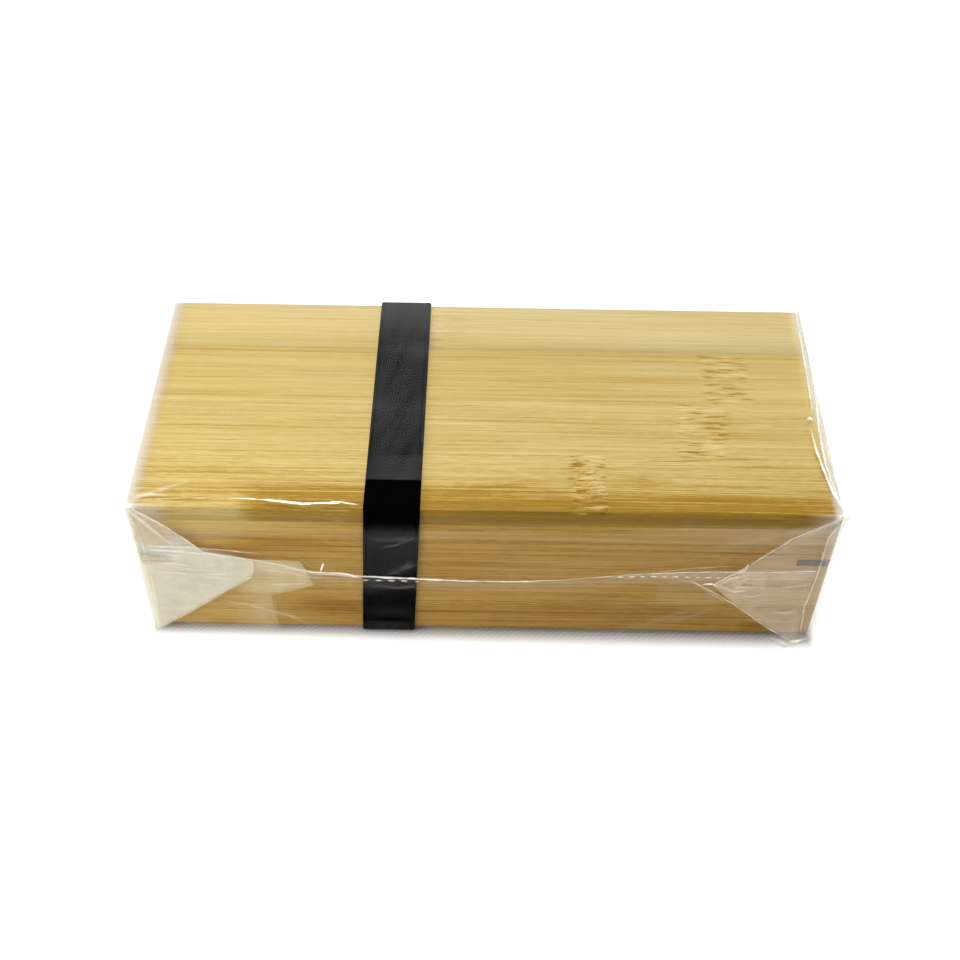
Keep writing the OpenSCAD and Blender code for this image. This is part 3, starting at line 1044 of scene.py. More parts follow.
class BENTO_OT_stage(bpy.types.Operator):
    """Floor, lamp, room light and camera."""

    bl_idname = "bento.stage"
    bl_label = "Stage"

    FLOOR_HALF = 3.0
    CAMERA_PLACE = Vector((-1.31, -291.21, 340.23))
    CAMERA_AIM = Vector((-1.40, -31.96, 56.20))
    CAMERA_ROLL = 0.919
    LAMP_PLACE = Vector((-60, 140, 1200))
    LAMP_SIZE = 700
    FILL_PLACE = Vector((-230, -170, 180))
    FILL_AIM = Vector((-40, 0, 40))
    FILL_SIZE = 140
    # The cloth's ribs: how far apart, how slanted, how dark, and where they fade out
    RIB_PITCH = 2.1
    RIB_SLANT = 1.2
    RIB_SHADE = 0.84
    RIBS_FROM, RIBS_TO = 2.0, 7.0
    # How far from the box the floor begins to whiten and is white, and how much further at the
    # right; off the ends it whitens sooner by the factor GLOW_NARROWS. Nearer than that it adds
    # no white: a painted shadow round the box, over its real one
    GLOW_FROM = -0.4
    GLOW_TO = 4.4
    GLOW_WIDENS = 2.1
    GLOW_NARROWS = 2.2
    FAR_FROM, FAR_TO = 150.0, 1200.0

    def execute(self, context):
        scene = context.scene
        scene.view_settings.view_transform = "Standard"
        scene.cycles.transparent_max_bounces = 24
        stage = scene.bento_stage
        self.lay_floor(scene, stage)
        self.light(scene, stage)
        self.aim_camera(scene, stage)
        return {"FINISHED"}

    def lay_floor(self, scene, stage):
        """A pale cloth, finely ribbed. It whitens away from the box, where only it is seen, and not next to
        it, which paints a shadow round the box over its real one.
        """
        bench = Bench(bpy.data.materials.new("pale floor"))
        seen = bench.seen()
        x, y, _ = bench.place()
        away_x = bench.maths("MAXIMUM", abs(x) - WOOD_HIGH.x, 0.0) * self.GLOW_NARROWS
        away_y = bench.maths("MAXIMUM", abs(y) - WOOD_HIGH.y, 0.0)
        away = (away_x * away_x + away_y * away_y) ** 0.5
        rib = bench.stripes((x - y * self.RIB_SLANT) / self.RIB_PITCH)
        rib = rib * bench.ramp(away, self.RIBS_TO, self.RIBS_FROM)
        tone = tuple(stage.floor_colour)
        worn = tuple(self.RIB_SHADE * channel for channel in tone)
        reach = self.GLOW_TO + bench.ramp(x, WOOD_LOW.x, WOOD_HIGH.x / 2) * self.GLOW_WIDENS
        far = bench.ramp(away, self.FAR_FROM, self.FAR_TO) * (1.0 - stage.floor_glow)
        # Painted shadow: next to the box the floor adds no white
        glow = seen * bench.ramp(away, self.GLOW_FROM, reach) * (far + stage.floor_glow)
        material = bench.principled({
            "Base Color": bench.blend(rib, opaque(tone), opaque(worn)),
            "Roughness": 0.9,
            "Specular IOR Level": 0.0,
            "Emission Color": bench.blend(glow, (0, 0, 0, 1), (1, 1, 1, 1)),
            "Emission Strength": 1.0,
        })
        half = self.FLOOR_HALF
        data = bpy.data.meshes.new("floor")
        data.from_pydata(
            [(-half, -half, 0), (half, -half, 0), (half, half, 0), (-half, half, 0)], [], [(0, 1, 2, 3)]
        )
        data.materials.append(material)
        floor = bpy.data.objects.new("floor", data)
        scene.collection.objects.link(floor)

    def light(self, scene, stage):
        """A room that is dim but looks white, and two lamps."""
        bench = Bench(bpy.data.worlds.new("white room"))
        dim, white = [
            bench.add("ShaderNodeBackground", None, {"Color": (1, 1, 1, 1), "Strength": strength}).outputs[0]
            for strength in (stage.sky, 1.0)
        ]
        room = bench.shader_mix(bench.seen(), dim, white)
        scene.world = bench.finish(room, "ShaderNodeOutputWorld")
        self.lamp("wide lamp", self.LAMP_PLACE, Vector((0, 0, 0)), self.LAMP_SIZE, stage.lamp_power)
        self.lamp("side lamp", self.FILL_PLACE, self.FILL_AIM, self.FILL_SIZE, stage.fill_power)

    def lamp(self, name, place, aim, size, power):
        """A square lamp that faces the point it is aimed at."""
        data = bpy.data.lights.new(name, "AREA")
        data.shape = "SQUARE"
        data.size = size * MM
        data.energy = power
        lamp = bpy.data.objects.new(name, data)
        turn = (aim - place).to_track_quat("-Z", "Y").to_matrix().to_4x4()
        lamp.matrix_world = Matrix.Translation(place * MM) @ turn
        bpy.context.scene.collection.objects.link(lamp)

    def aim_camera(self, scene, stage):
        """The camera, from in front and above, rolled a little."""
        data = bpy.data.cameras.new("camera")
        data.sensor_width = 36
        data.lens = stage.lens
        data.clip_start = 0.01
        camera = bpy.data.objects.new("camera", data)
        ahead = (self.CAMERA_AIM - self.CAMERA_PLACE).normalized()
        level = ahead.cross(Vector((0, 0, 1))).normalized()
        above = level.cross(ahead)
        roll = math.radians(self.CAMERA_ROLL)
        right = level * math.cos(roll) + above * math.sin(roll)
        up = above * math.cos(roll) - level * math.sin(roll)
        turn = Matrix((right, up, -ahead)).transposed().to_4x4()
        camera.matrix_world = Matrix.Translation(self.CAMERA_PLACE * MM) @ turn
        scene.collection.objects.link(camera)
        scene.camera = camera


class BENTO_OT_body(bpy.types.Operator):
    """The four mitred walls, the bottom board and the liner strips."""

    bl_idname = "bento.body"
    bl_label = "Body"

    # (drop below the top, half width, strength, from, to)
    FRONT_LINES = [
        (16.8, 0.45, 0.12, -60, 96), (18.8, 0.45, 0.14, -70, 80),
        (23.6, 0.35, 0.1, -30, 96), (27.2, 0.4, 0.08, -90, 30),
        (32.4, 0.35, 0.08, -20, 96), (36.5, 0.5, 0.08, -60, 96),
        (42.2, 0.4, 0.14, -60, 96), (44.1, 0.35, 0.12, -70, 60),
        (46.2, 0.35, 0.2, -94, 60), (47.0, 0.3, -0.2, -94, 50),
        (50.3, 0.4, 0.1, -60, 60),
    ]
    # (place along, half length, drop below the top, half width, strength)
    FRONT_GLOWS = [
        (-56, 26, 16.0, 4.0, 0.16), (-45, 20, 44.0, 7.0, 0.3),
        (100, 4.5, 26, 34, -0.5), (84, 9, 52.0, 4.5, 0.22), (-78, 44, 48, 12, -0.16),
        (-70, 60, 28, 14, -0.14), (34, 100, 46, 11, 0.12),
    ]

    def execute(self, context):
        lid, wall = palettes()
        lines, glows = on_front(self.FRONT_LINES, self.FRONT_GLOWS)
        front = bamboo("bamboo front wall", ALONG_SIDE, wall, lines=lines, glows=glows, seed=1.0)
        back = bamboo("bamboo back wall", ALONG_SIDE, wall, [Knuckle(38, 47, 0.8)], tone=0.02, seed=2.0)
        ends = bamboo("bamboo end walls", ACROSS_SIDE, wall, [Knuckle(12, 20, 0.7)], seed=3.0)
        inner = bamboo("bamboo inside along", ALONG_SIDE, lid, seed=4.0)
        inner_across = bamboo("bamboo inside across", ACROSS_SIDE, lid, seed=5.0)
        base = bamboo("bamboo bottom board", ALONG_TOP, lid, [Knuckle(-58, -48, 0.8)], tone=-0.02, seed=6.0)
        for node, material, plank, sanded in (
            ("front_wall", front, 0.0, (RIM_Z,)), ("back_wall", back, 1.0, (RIM_Z,)),
            ("left_end_wall", ends, 0.0, (RIM_Z,)), ("right_end_wall", ends, 1.0, (RIM_Z,)),
            ("bottom_board", base, 0.0, ()),
            ("liner_front", inner, 0.0, (LIP_Z,)), ("liner_back", inner, 1.0, (LIP_Z,)),
            ("liner_left", inner_across, 0.0, (LIP_Z,)), ("liner_right", inner_across, 1.0, (LIP_Z,)),
        ):
            board(node, "body", material, plank, sanded)
        return {"FINISHED"}


class BENTO_OT_corner_keys(bpy.types.Operator):
    """The dark wooden keys let into the four corners."""

    bl_idname = "bento.corner_keys"
    bl_label = "Corner keys"

    def execute(self, context):
        material = key_wood("dark key wood", tuple(context.scene.bento_wood.key_colour))
        for place in ("front_left", "front_right", "back_left", "back_right"):
            board("key_" + place, "body", material)
        return {"FINISHED"}


class BENTO_OT_lid(bpy.types.Operator):
    """The lid: four strips glued edge to edge, with a rail under each side."""

    bl_idname = "bento.lid"
    bl_label = "Lid"

    # lines and glows as bamboo() takes them, but across from the strip's front edge
    STRIPS = {
        "lid_strip_front": dict(
            knuckles=[
                Knuckle(26.4, 34.2, 1.0, fades=(3.5, 0.4), specks=0.9, ragged=2.0, above=TOP_Z - 0.6)
            ],
            lines=[
                (2.2, 0.4, 0.12, -96, 24), (5.6, 0.4, 0.16, -96, 20),
                (7.4, 0.35, 0.14, -70, 20), (6.4, 0.3, -0.12, -96, 22),
                (12.5, 0.35, 0.08, -96, 5), (14.6, 0.35, 0.08, -96, 20),
                (5.0, 0.35, 0.12, 36, 96), (9.6, 0.3, 0.24, 28, 44),
                (4.0, 0.3, 0.3, 12, 30), (11.4, 0.25, 0.2, 16, 30),
                (16.5, 0.4, 0.2, 14, 36), (2.6, 0.3, 0.3, 26, 46),
                (8.6, 0.3, -0.1, 36, 96), (18.5, 0.35, 0.1, 36, 80),
                # These two darken the wood towards the lid's front edge: painted shade where the film clings
                # and mirrors nothing
                (0.5, 10.0, 0.3, -62, 96), (0.6, 4.0, 0.08, -30, 96),
            ],
            glows=[
                (66, 30, 6.0, 3.0, 0.08), (4, 16, 9.5, 3.4, 0.08),
                (44, 12, 12.0, 3.0, 0.1), (-20, 130, 6.0, 7.0, 0.06),
                (-85, 40, 1.0, 5.0, -0.04), (99.5, 4.5, 12, 14, -0.15),
            ],
            tone=0.015, crisp=1.2,
        ),
        "lid_strip_mid_front": dict(
            knuckles=[Knuckle(58, 69, 0.6, fades=(4.0, 4.0), specks=0.1, ragged=7.0)],
            lines=[
                (1.2, 0.4, 0.1, -96, -20), (4.2, 0.35, 0.08, -96, 40),
                (9.5, 0.35, 0.08, -96, 96), (15.0, 0.35, 0.08, -10, 56),
                (19.5, 0.35, 0.1, -96, -20), (12.0, 0.3, -0.1, -96, 0),
            ],
            glows=[(72, 9, 12, 8.0, 0.06), (99.5, 4.5, 11, 30, -0.3)],
            tone=0.035, crisp=0.85,
        ),
        "lid_strip_mid_back": dict(
            knuckles=[Knuckle(68, 78, 0.55, fades=(4.0, 4.0), specks=0.1, ragged=7.0)],
            lines=[
                (0.9, 0.35, 0.1, -96, 60), (8.8, 0.35, 0.1, -20, 60),
                (13.0, 0.3, 0.07, -96, 0), (20.6, 0.5, 0.08, -96, 96),
            ],
            glows=[
                (76, 7, 7, 6.0, 0.1), (20, 120, 12, 9, 0.05),
                (90, 60, 5, 12, -0.07), (99.5, 4.5, 11, 30, -0.4),
            ],
            tone=0.025, crisp=0.65,
        ),
        "lid_strip_back": dict(
            knuckles=[Knuckle(-17.6, -13.8, 0.34, fades=(1.0, 3.0), ragged=2.0)],
            lines=[
                (1.0, 0.5, 0.08, -96, 96), (8.0, 0.4, 0.06, -60, 96),
                (14.0, 0.4, 0.06, -96, 20),
            ],
            glows=[
                (-10, 8, 13, 8.0, 0.07), (0, 190, 18, 9.0, -0.07),
                (90, 130, 6, 11, -0.17), (99.5, 4.5, 11, 30, -0.45),
            ],
            tone=0.085, crisp=0.7,
        ),
    }
    # (drop below the top, half width, strength, from, to)
    RAIL_LINES = [
        (7.6, 0.4, 0.1, -96, 96), (10.5, 0.35, 0.1, 0, 96),
        (12.6, 0.35, 0.1, -60, 96), (9.3, 0.4, -0.05, -60, 96),
        (11.6, 0.3, -0.08, -90, 20),
    ]
    # (place along, half length, drop below the top, half width, strength)
    RAIL_GLOWS = [
        # (20, 150, 2.8, 1.4, 0.17) darkens the rail just under the lid's edge: painted shade where the film
        # clings
        (-78, 46, 8.5, 9, -0.3), (20, 150, 2.8, 1.4, 0.17),
        (66, 54, 6.5, 4.5, -0.2), (100, 4.5, 8, 16, -0.45),
    ]

    def execute(self, context):
        lid, wall = palettes()
        for number, (node, look) in enumerate(self.STRIPS.items()):
            edge = WOOD_LOW.y + number * STRIP_W
            lines = [(edge + across, *rest) for across, *rest in look["lines"]]
            glows = [(along, long, edge + across, *rest) for along, long, across, *rest in look["glows"]]
            material = bamboo(
                "bamboo " + node.replace("_", " "), Grain(0, 1, 2, look["crisp"]), lid,
                knuckles=look["knuckles"], lines=lines, glows=glows, tone=look["tone"],
                seed=11.0 + number,
            )
            board(node, "lid", material, 2.0 + number)
        lines, glows = on_front(self.RAIL_LINES, self.RAIL_GLOWS)
        front = bamboo("bamboo front rail", ALONG_SIDE, wall, lines=lines, glows=glows, seed=21.0)
        back = bamboo("bamboo back rail", ALONG_SIDE, wall, seed=22.0)
        ends = bamboo("bamboo end rails", ACROSS_SIDE, wall, seed=23.0)
        for side, material, plank in (
            ("front", front, 0.0), ("back", back, 0.0), ("left", ends, 0.0), ("right", ends, 1.0),
        ):
            board("lid_rail_" + side, "lid", material, plank, (RIM_Z,))
        return {"FINISHED"}


class BENTO_OT_divider(bpy.types.Operator):
    """The loose divider between the compartments."""

    bl_idname = "bento.divider"
    bl_label = "Divider"

    def execute(self, context):
        lid, _ = palettes()
        material = bamboo("bamboo divider", ACROSS_SIDE, lid, tone=0.02, seed=31.0)
        low, high = node_box("divider")
        board("divider", "divider", material, 0.0, (low.z, high.z))
        return {"FINISHED"}


class BENTO_OT_band(bpy.types.Operator):
    """The elastic band, with the lap where its ends are sewn together."""

    bl_idname = "bento.band"
    bl_label = "Elastic band"

    # The lap is laid on in so many steps on either side of its middle
    LAP_STEPS = 8

    def execute(self, context):
        middle = BAND_GAP + BAND_T / 2
        mesh = bmesh.new()
        uv_layer = mesh.loops.layers.uv.new("weave")
        places = []
        for y, z, out_y, out_z in band_run(middle, EDGE_R + middle):
            share = (TOP_Z - EDGE_R - z) / (TOP_Z - WOOD_LOW.z - 2 * EDGE_R)
            shift = BAND_LEAN * min(1.0, max(0.0, share))
            origin = Vector((BAND_TOP_X - shift, y, z))
            places.append((origin, Vector((1, 0, 0)), Vector((0, out_y, out_z))))
        section = strap_section(BAND_W, BAND_T)
        sweep(mesh, uv_layer, places, section, True)
        lap = [
            (Vector((BAND_TOP_X - BAND_LEAN, LAP_HALF * (k / self.LAP_STEPS - 1), 1.5 * BAND_T)),
             Vector((1, 0, 0)), Vector((0, 0, -1)))
            for k in range(2 * self.LAP_STEPS + 1)
        ]
        sweep(mesh, uv_layer, lap, section, False)
        bmesh.ops.recalc_face_normals(mesh, faces=mesh.faces)
        material = woven_elastic("black woven elastic", context.scene.bento_band)
        data = settled("elastic_strap", mesh)
        band = new_piece("elastic_strap", "band", material, data, SHEET_TURN)
        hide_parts("elastic_band")
        crush(band)
        return {"FINISHED"}


def crush(piece):
    """Gives the piece a mesh of its own."""
    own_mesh(piece)


class BENTO_OT_stitching(bpy.types.Operator):
    """The two rows of stitches across the band's lap."""

    bl_idname = "bento.stitching"
    bl_label = "Stitching"

    def execute(self, context):
        settings = context.scene.bento_band
        low, high = node_box("band_stitching")
        thickness = (high.z - low.z) * MM
        inset = settings.stitch_length / 2
        start, end = low.x * MM + inset, high.x * MM - inset
        height = (low.z + high.z) / 2 * MM
        rows = [
            [(start, y * MM, height), (end + 0.05 * MM, y * MM, height)]
            for y in (low.y + thickness / MM / 2, high.y - thickness / MM / 2)
        ]
        material = spun_thread("black sewing thread")
        made = bars_along("band_stitches", rows, {
            "Pitch": settings.stitch_pitch,
            "Length": settings.stitch_length,
            "Width": thickness,
            "Height": thickness,
            "Unevenness": 0.05,
        }, material)
        stitches = new_piece("band_stitches", "band", material, made, ROUND_TURN)
        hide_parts("band_stitching")
        crush(stitches)
        return {"FINISHED"}


class BENTO_OT_film_hood(bpy.types.Operator):
    """The bag's film over the top and round the four sides."""

    bl_idname = "bento.film_hood"
    bl_label = "Film hood"

    # The size of the mesh's cells, its rows up the walls and the steps round each bend
    CELL = 3.0
    WALL_ROWS = 20
    BEND_STEPS = 6

    def bend_turns(self):
        """The angles of the steps round a bend."""
        return [math.radians(90 * k / self.BEND_STEPS) for k in range(self.BEND_STEPS + 1)]

    def stations(self, low, high):
        """Places from one side to the other, close together round the corners."""
        r = FILM_BEND
        bends = [r * (1 - math.cos(turn)) for turn in self.bend_turns()]
        middle = max(2, round((high - low - 2 * r) / self.CELL))
        flat = [low + r + (high - low - 2 * r) * k / middle for k in range(1, middle)]
        return [low + bend for bend in bends] + flat + [high - bend for bend in reversed(bends)]

    def wave(self, point, out, slack):
        """How far the film stands off its flat place there, mostly inwards, in slow waves."""
        slow = noise.noise(Vector((point.x / 34, point.y / 17, point.z / 17)))
        quick = noise.noise(Vector((point.x / 11, point.y / 6 + 9, point.z / 8)))
        return out * (slow * 0.7 + quick * 0.3 - 0.5) * slack

    def execute(self, context):
        settings = context.scene.bento_film
        slack = settings.slack / MM
        low = Vector((WOOD_LOW.x - FILM_OUT, FILM_FRONT_Y, FILM_LOW.z))
        high = Vector((WOOD_HIGH.x + FILM_OUT, WOOD_HIGH.y + FILM_OUT, FILM_HIGH.z))
        r = FILM_BEND
        xs = self.stations(low.x, high.x)
        ys = self.stations(low.y, high.y)
        zs = [low.z + (high.z - r - low.z) * k / self.WALL_ROWS for k in range(self.WALL_ROWS)]
        zs += [high.z - r + r * math.sin(turn) for turn in self.bend_turns()]
        core_low = Vector((low.x + r, low.y + r, low.z))
        core_high = Vector((high.x - r, high.y - r, high.z - r))
        mesh = bmesh.new()
        made = {}

        def vertex(i, j, k):
            key = (i, j, k)
            if key in made:
                return made[key]
            spot = Vector((xs[i], ys[j], zs[k]))
            core = Vector([min(max(spot[n], core_low[n]), core_high[n]) for n in range(3)])
            out = spot - core
            out = out.normalized() if out.length > MERGE else Vector((0, 0, 1))
            place = core + out * (r - tuck(spot.z))
            made[key] = mesh.verts.new((place + self.wave(place, out, slack)) * MM)
            return made[key]

        last_i, last_j, last_k = len(xs) - 1, len(ys) - 1, len(zs) - 1
        for i in range(last_i):
            for j in range(last_j):
                corners = ((i, j), (i + 1, j), (i + 1, j + 1), (i, j + 1))
                mesh.faces.new([vertex(a, b, last_k) for a, b in corners])
        for k in range(last_k):
            for i in range(last_i):
                for j in (0, last_j):
                    mesh.faces.new([vertex(*key) for key in (
                        (i, j, k), (i + 1, j, k), (i + 1, j, k + 1), (i, j, k + 1))])
            for j in range(last_j):
                for i in (0, last_i):
                    mesh.faces.new([vertex(*key) for key in (
                        (i, j, k), (i, j + 1, k), (i, j + 1, k + 1), (i, j, k + 1))])
        bmesh.ops.remove_doubles(mesh, verts=mesh.verts, dist=MERGE)
        bmesh.ops.recalc_face_normals(mesh, faces=mesh.faces)
        mesh.faces.ensure_lookup_table()
        top_face = max(mesh.faces, key=lambda face: face.calc_center_median().z)
        if top_face.normal.z < 0:
            bmesh.ops.reverse_faces(mesh, faces=mesh.faces)
        material = hood_film("clear bag film", settings)
        data = settled("film_hood", mesh)
        hood = new_piece("film_hood", "film", material, data, ROUND_TURN)
        thicken(hood)
        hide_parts("film_wrap")
        return {"FINISHED"}


# Points along the seal: right of the wood's left end and below its top
SEAL = [
    (2, 14.9), (18, 15.4), (33, 20.2), (41.5, 22.8), (50, 25.7), (57, 26.1), (65, 27.4), (80, 28.2),
    (99, 28.9), (110, 28.6), (121, 27.8), (133, 26), (142, 24.6), (151, 23.6), (166, 22.7),
    (182, 22.4), (196, 21.6),
]
# Before this point the seal lies under the left ear; up to this place in X its bead is bolder
SEAL_SEEN_FROM = 2
BOLD_UNTIL = 25
# The way that the front faces
TO_FRONT = (0, -1, 0)
HEM_W = 5.5


def seal_drop(right):
    """How far below the top of the wood the seal runs there."""
    for (start, high), (end, low) in zip(SEAL, SEAL[1:]):
        if start <= right <= end:
            return high + (low - high) * (right - start) / (end - start)
    return SEAL[0][1] if right < SEAL[0][0] else SEAL[-1][1]


def fade(value, low, high):
    """0 where value is low and 1 where it is high, straight in between."""
    return min(1.0, max(0.0, (value - low) / (high - low)))


def speckle(right, drop, size):
    """Uneven from place to place, -1 to 1, for crumpled film."""
    return noise.noise(Vector((right / size, drop / size, size)))


class BENTO_OT_seal(bpy.types.Operator):
    """The seal across the front, the hem below it and the dashes pressed along it."""

    bl_idname = "bento.seal"
    bl_label = "Seal and hem"

    def execute(self, context):
        settings = context.scene.bento_film
        hem_film = folded_film("hem film", paint(250, 248, 236), mottle=0.5, silver=0.8)
        upper = [Vector(point) for point in SEAL]
        lower = [point + Vector((0, HEM_W)) for point in reversed(upper)]
        outline = [tuple(point) for point in upper + lower]

        def haze(right, drop):
            ends = 1 + 1.6 * fade(right, 62, 34) + 1.2 * fade(right, 130, 165)
            banded = fade(right, 63, 66) * fade(right, 84, 81)
            down = fade(drop - seal_drop(right), HEM_W, 0)
            milky = (0.008 + 0.05 * down) * (1 - 0.6 * banded)
            return milky * ends * (1 + 0.5 * speckle(right, drop, 4))

        front_patch("film_hem", outline, haze, hem_film, proud=0.1, cell=1.6, relief=0.05)

        # The bead is milky partly of its own and partly as a painted highlight along the seal
        bead_film = folded_film("seal bead film", paint(255, 252, 244), mottle=0.5, silver=0.85)
        book = RibbonBook()
        line = [front_point(*point, 0.12) / MM for point in SEAL[SEAL_SEEN_FROM:]]
        middle = next(i for i, point in enumerate(line) if point.x > BOLD_UNTIL)
        book.add(line[:middle + 1], TO_FRONT, 0.66, 0.7, (0.01, 0.2), patchy=0.5)
        book.add(line[middle - 1:], TO_FRONT, 0.5, 0.56, (0.25, 0.01), patchy=0.5)
        second = [point + Vector((0, -0.02, -0.75)) for point in line[1:5]]
        book.add(second, TO_FRONT, 0.5, 0.4)
        over_band = [point + Vector((0, -0.04, 0.1)) for point in line if -50 < point.x < 0]
        book.add(over_band, TO_FRONT, 1.1, 0.9, (0.3, 0.4), step=0.6, patchy=1.3)
        book.close("film_seal", bead_film)

        dash_film = folded_film("seal dash film", paint(255, 255, 253), mottle=0.3, silver=0.9)
        on_band = [(65.4, 28.9), (72.0, 28.9), (80.4, 29.1)]
        right_run = [(139.5, 25.5), (150.0, 25.0), (168.0, 25.2)]
        lines = [[front_point(*point, 0.3) for point in run] for run in (on_band, right_run)]
        made = bars_along("seal_dashes", lines, {
            "Pitch": settings.dash_pitch,
            "Length": 2.2 * MM,
            "Width": 0.12 * MM,
            "Height": 0.55 * MM,
            "Unevenness": 0.35,
        }, dash_film)
        store(made, "haze", [0.5 if vertex.co.x < 0 else 0.45 for vertex in made.vertices])
        new_piece("seal_dashes", "film", dash_film, made, ROUND_TURN)
        return {"FINISHED"}


class BENTO_OT_ears(bpy.types.Operator):
    """The corners of the bag, folded flat against the front."""

    bl_idname = "bento.ears"
    bl_label = "Folded ears"

    # The loose end of the right ear, lying crumpled on the floor: x, y and z of each point
    TIP = [
        [(87.4, -45.4, 2.0), (90.4, -45.4, 1.4), (93.5, -45.4, 1.2), (97.0, -45.4, 1.3), (99.4, -45.3, 1.6)],
        [(89.4, -46.1, 1.2), (91.4, -46.0, 1.5), (94.0, -45.9, 0.9), (97.0, -46.0, 1.6), (98.9, -45.8, 0.9)],
        [(90.8, -47.0, 0.6), (92.4, -46.9, 1.3), (94.6, -46.7, 0.5), (96.4, -46.5, 1.2), (98.0, -46.2, 0.5)],
        [(92.0, -48.1, 0.3), (93.2, -48.0, 1.0), (94.6, -47.4, 0.4), (95.8, -47.0, 0.9), (96.8, -46.6, 0.3)],
    ]
    TIP_HAZE = [
        [0.15, 0.08, 0.1, 0.35, 0.3],
        [0.2, 0.06, 0.1, 0.9, 0.5],
        [0.25, 0.2, 0.03, 0.6, 0.3],
        [0.4, 0.9, 0.2, 0.15, 0.1],
    ]

    def left_haze(self, right, drop):
        """Milky all over, clearer near the top corner and over the dark key."""
        milky = 0.16 + 0.24 * fade(drop, 8, 17)
        key = fade(right, 11, 6) * fade(abs(drop - 20.4), 3.0, 1.6)
        end = fade(right, 0.2, 2.8) + fade(drop, 21, 25) * fade(right, 2.8, 0.2) * 1.3
        tip = fade(right, 16, 26) * fade(abs(drop - 24), 7, 3)
        crumple = speckle(right, drop, 2.2) * 0.1 * tip + speckle(right, drop * 2, 5) * 0.05
        streaky = speckle(right / 6, drop, 1.3) * 0.04 * fade(drop, 26, 18)
        return (milky - 0.2 * key) * (0.2 + 0.8 * end) + 0.03 * tip + crumple + streaky

    def right_haze(self, right, drop):
        """A single fold: clear at the top corner and beyond the crease near the end."""
        milky = 0.07 + 0.06 * fade(drop, 14, 24) + 0.04 * fade(drop, 40, 50)
        beyond = fade(right, 194.4, 196.4)
        tip = fade(math.hypot((right - 173) / 1.4, drop - 27.5), 7.0, 2.0)
        foot = fade(drop, 44, 54) * fade(right, 180, 188)
        crumple = speckle(right, drop, 1.8) * (0.2 * tip + 0.1 * foot) + speckle(right, drop, 6) * 0.03
        return max(0.0, milky * (1 - 0.7 * beyond) + 0.06 * tip + crumple)

    def execute(self, context):
        left_film = folded_film("left ear film", paint(240, 239, 224), mottle=0.3, silver=0.7, end_glow=0.22)
        right_film = folded_film("right ear film", paint(252, 247, 232), mottle=0.7, silver=0.85)
        length = WOOD_HIGH.x - WOOD_LOW.x
        left = [(0.2, -2.7), (1.4, -2.7), (10.8, 6.3), (19.6, 17.0), (33.3, 20.6), (33.2, 24.6),
                (32.2, 28.1), (25.5, 34.0), (19.2, 39.6), (0.9, 54.8), (0.2, 55.2)]
        right = [(length - 0.2, -2.7), (length - 1.2, -2.7), (185.8, 7.1), (174.9, 19.8),
                 (170.8, 24.0), (166.2, 28.6), (174.2, 37.7), (185.3, 48.5), (193.4, 55.7),
                 (length + 0.2, 55.7)]
        front_patch(
            "film_ear_left", left, self.left_haze, left_film, proud=0.2, cell=1.2, relief=0.12
        )
        front_patch(
            "film_ear_right", right, self.right_haze, right_film, proud=0.2, cell=1.2, relief=0.14
        )
        self.lay_tip(right_film)
        return {"FINISHED"}

    def lay_tip(self, material):
        """The loose end of the right ear."""
        mesh = bmesh.new()
        rows = [[mesh.verts.new(Vector(point) * MM) for point in row] for row in self.TIP]
        for first, second in zip(rows, rows[1:]):
            for k in range(len(first) - 1):
                mesh.faces.new((first[k], second[k], second[k + 1], first[k + 1]))
        data = settled("film_ear_tip", mesh)
        store(data, "haze", [value for row in self.TIP_HAZE for value in row])
        tip = new_piece("film_ear_tip", "film", material, data, TIP_TURN)
        thicken(tip)


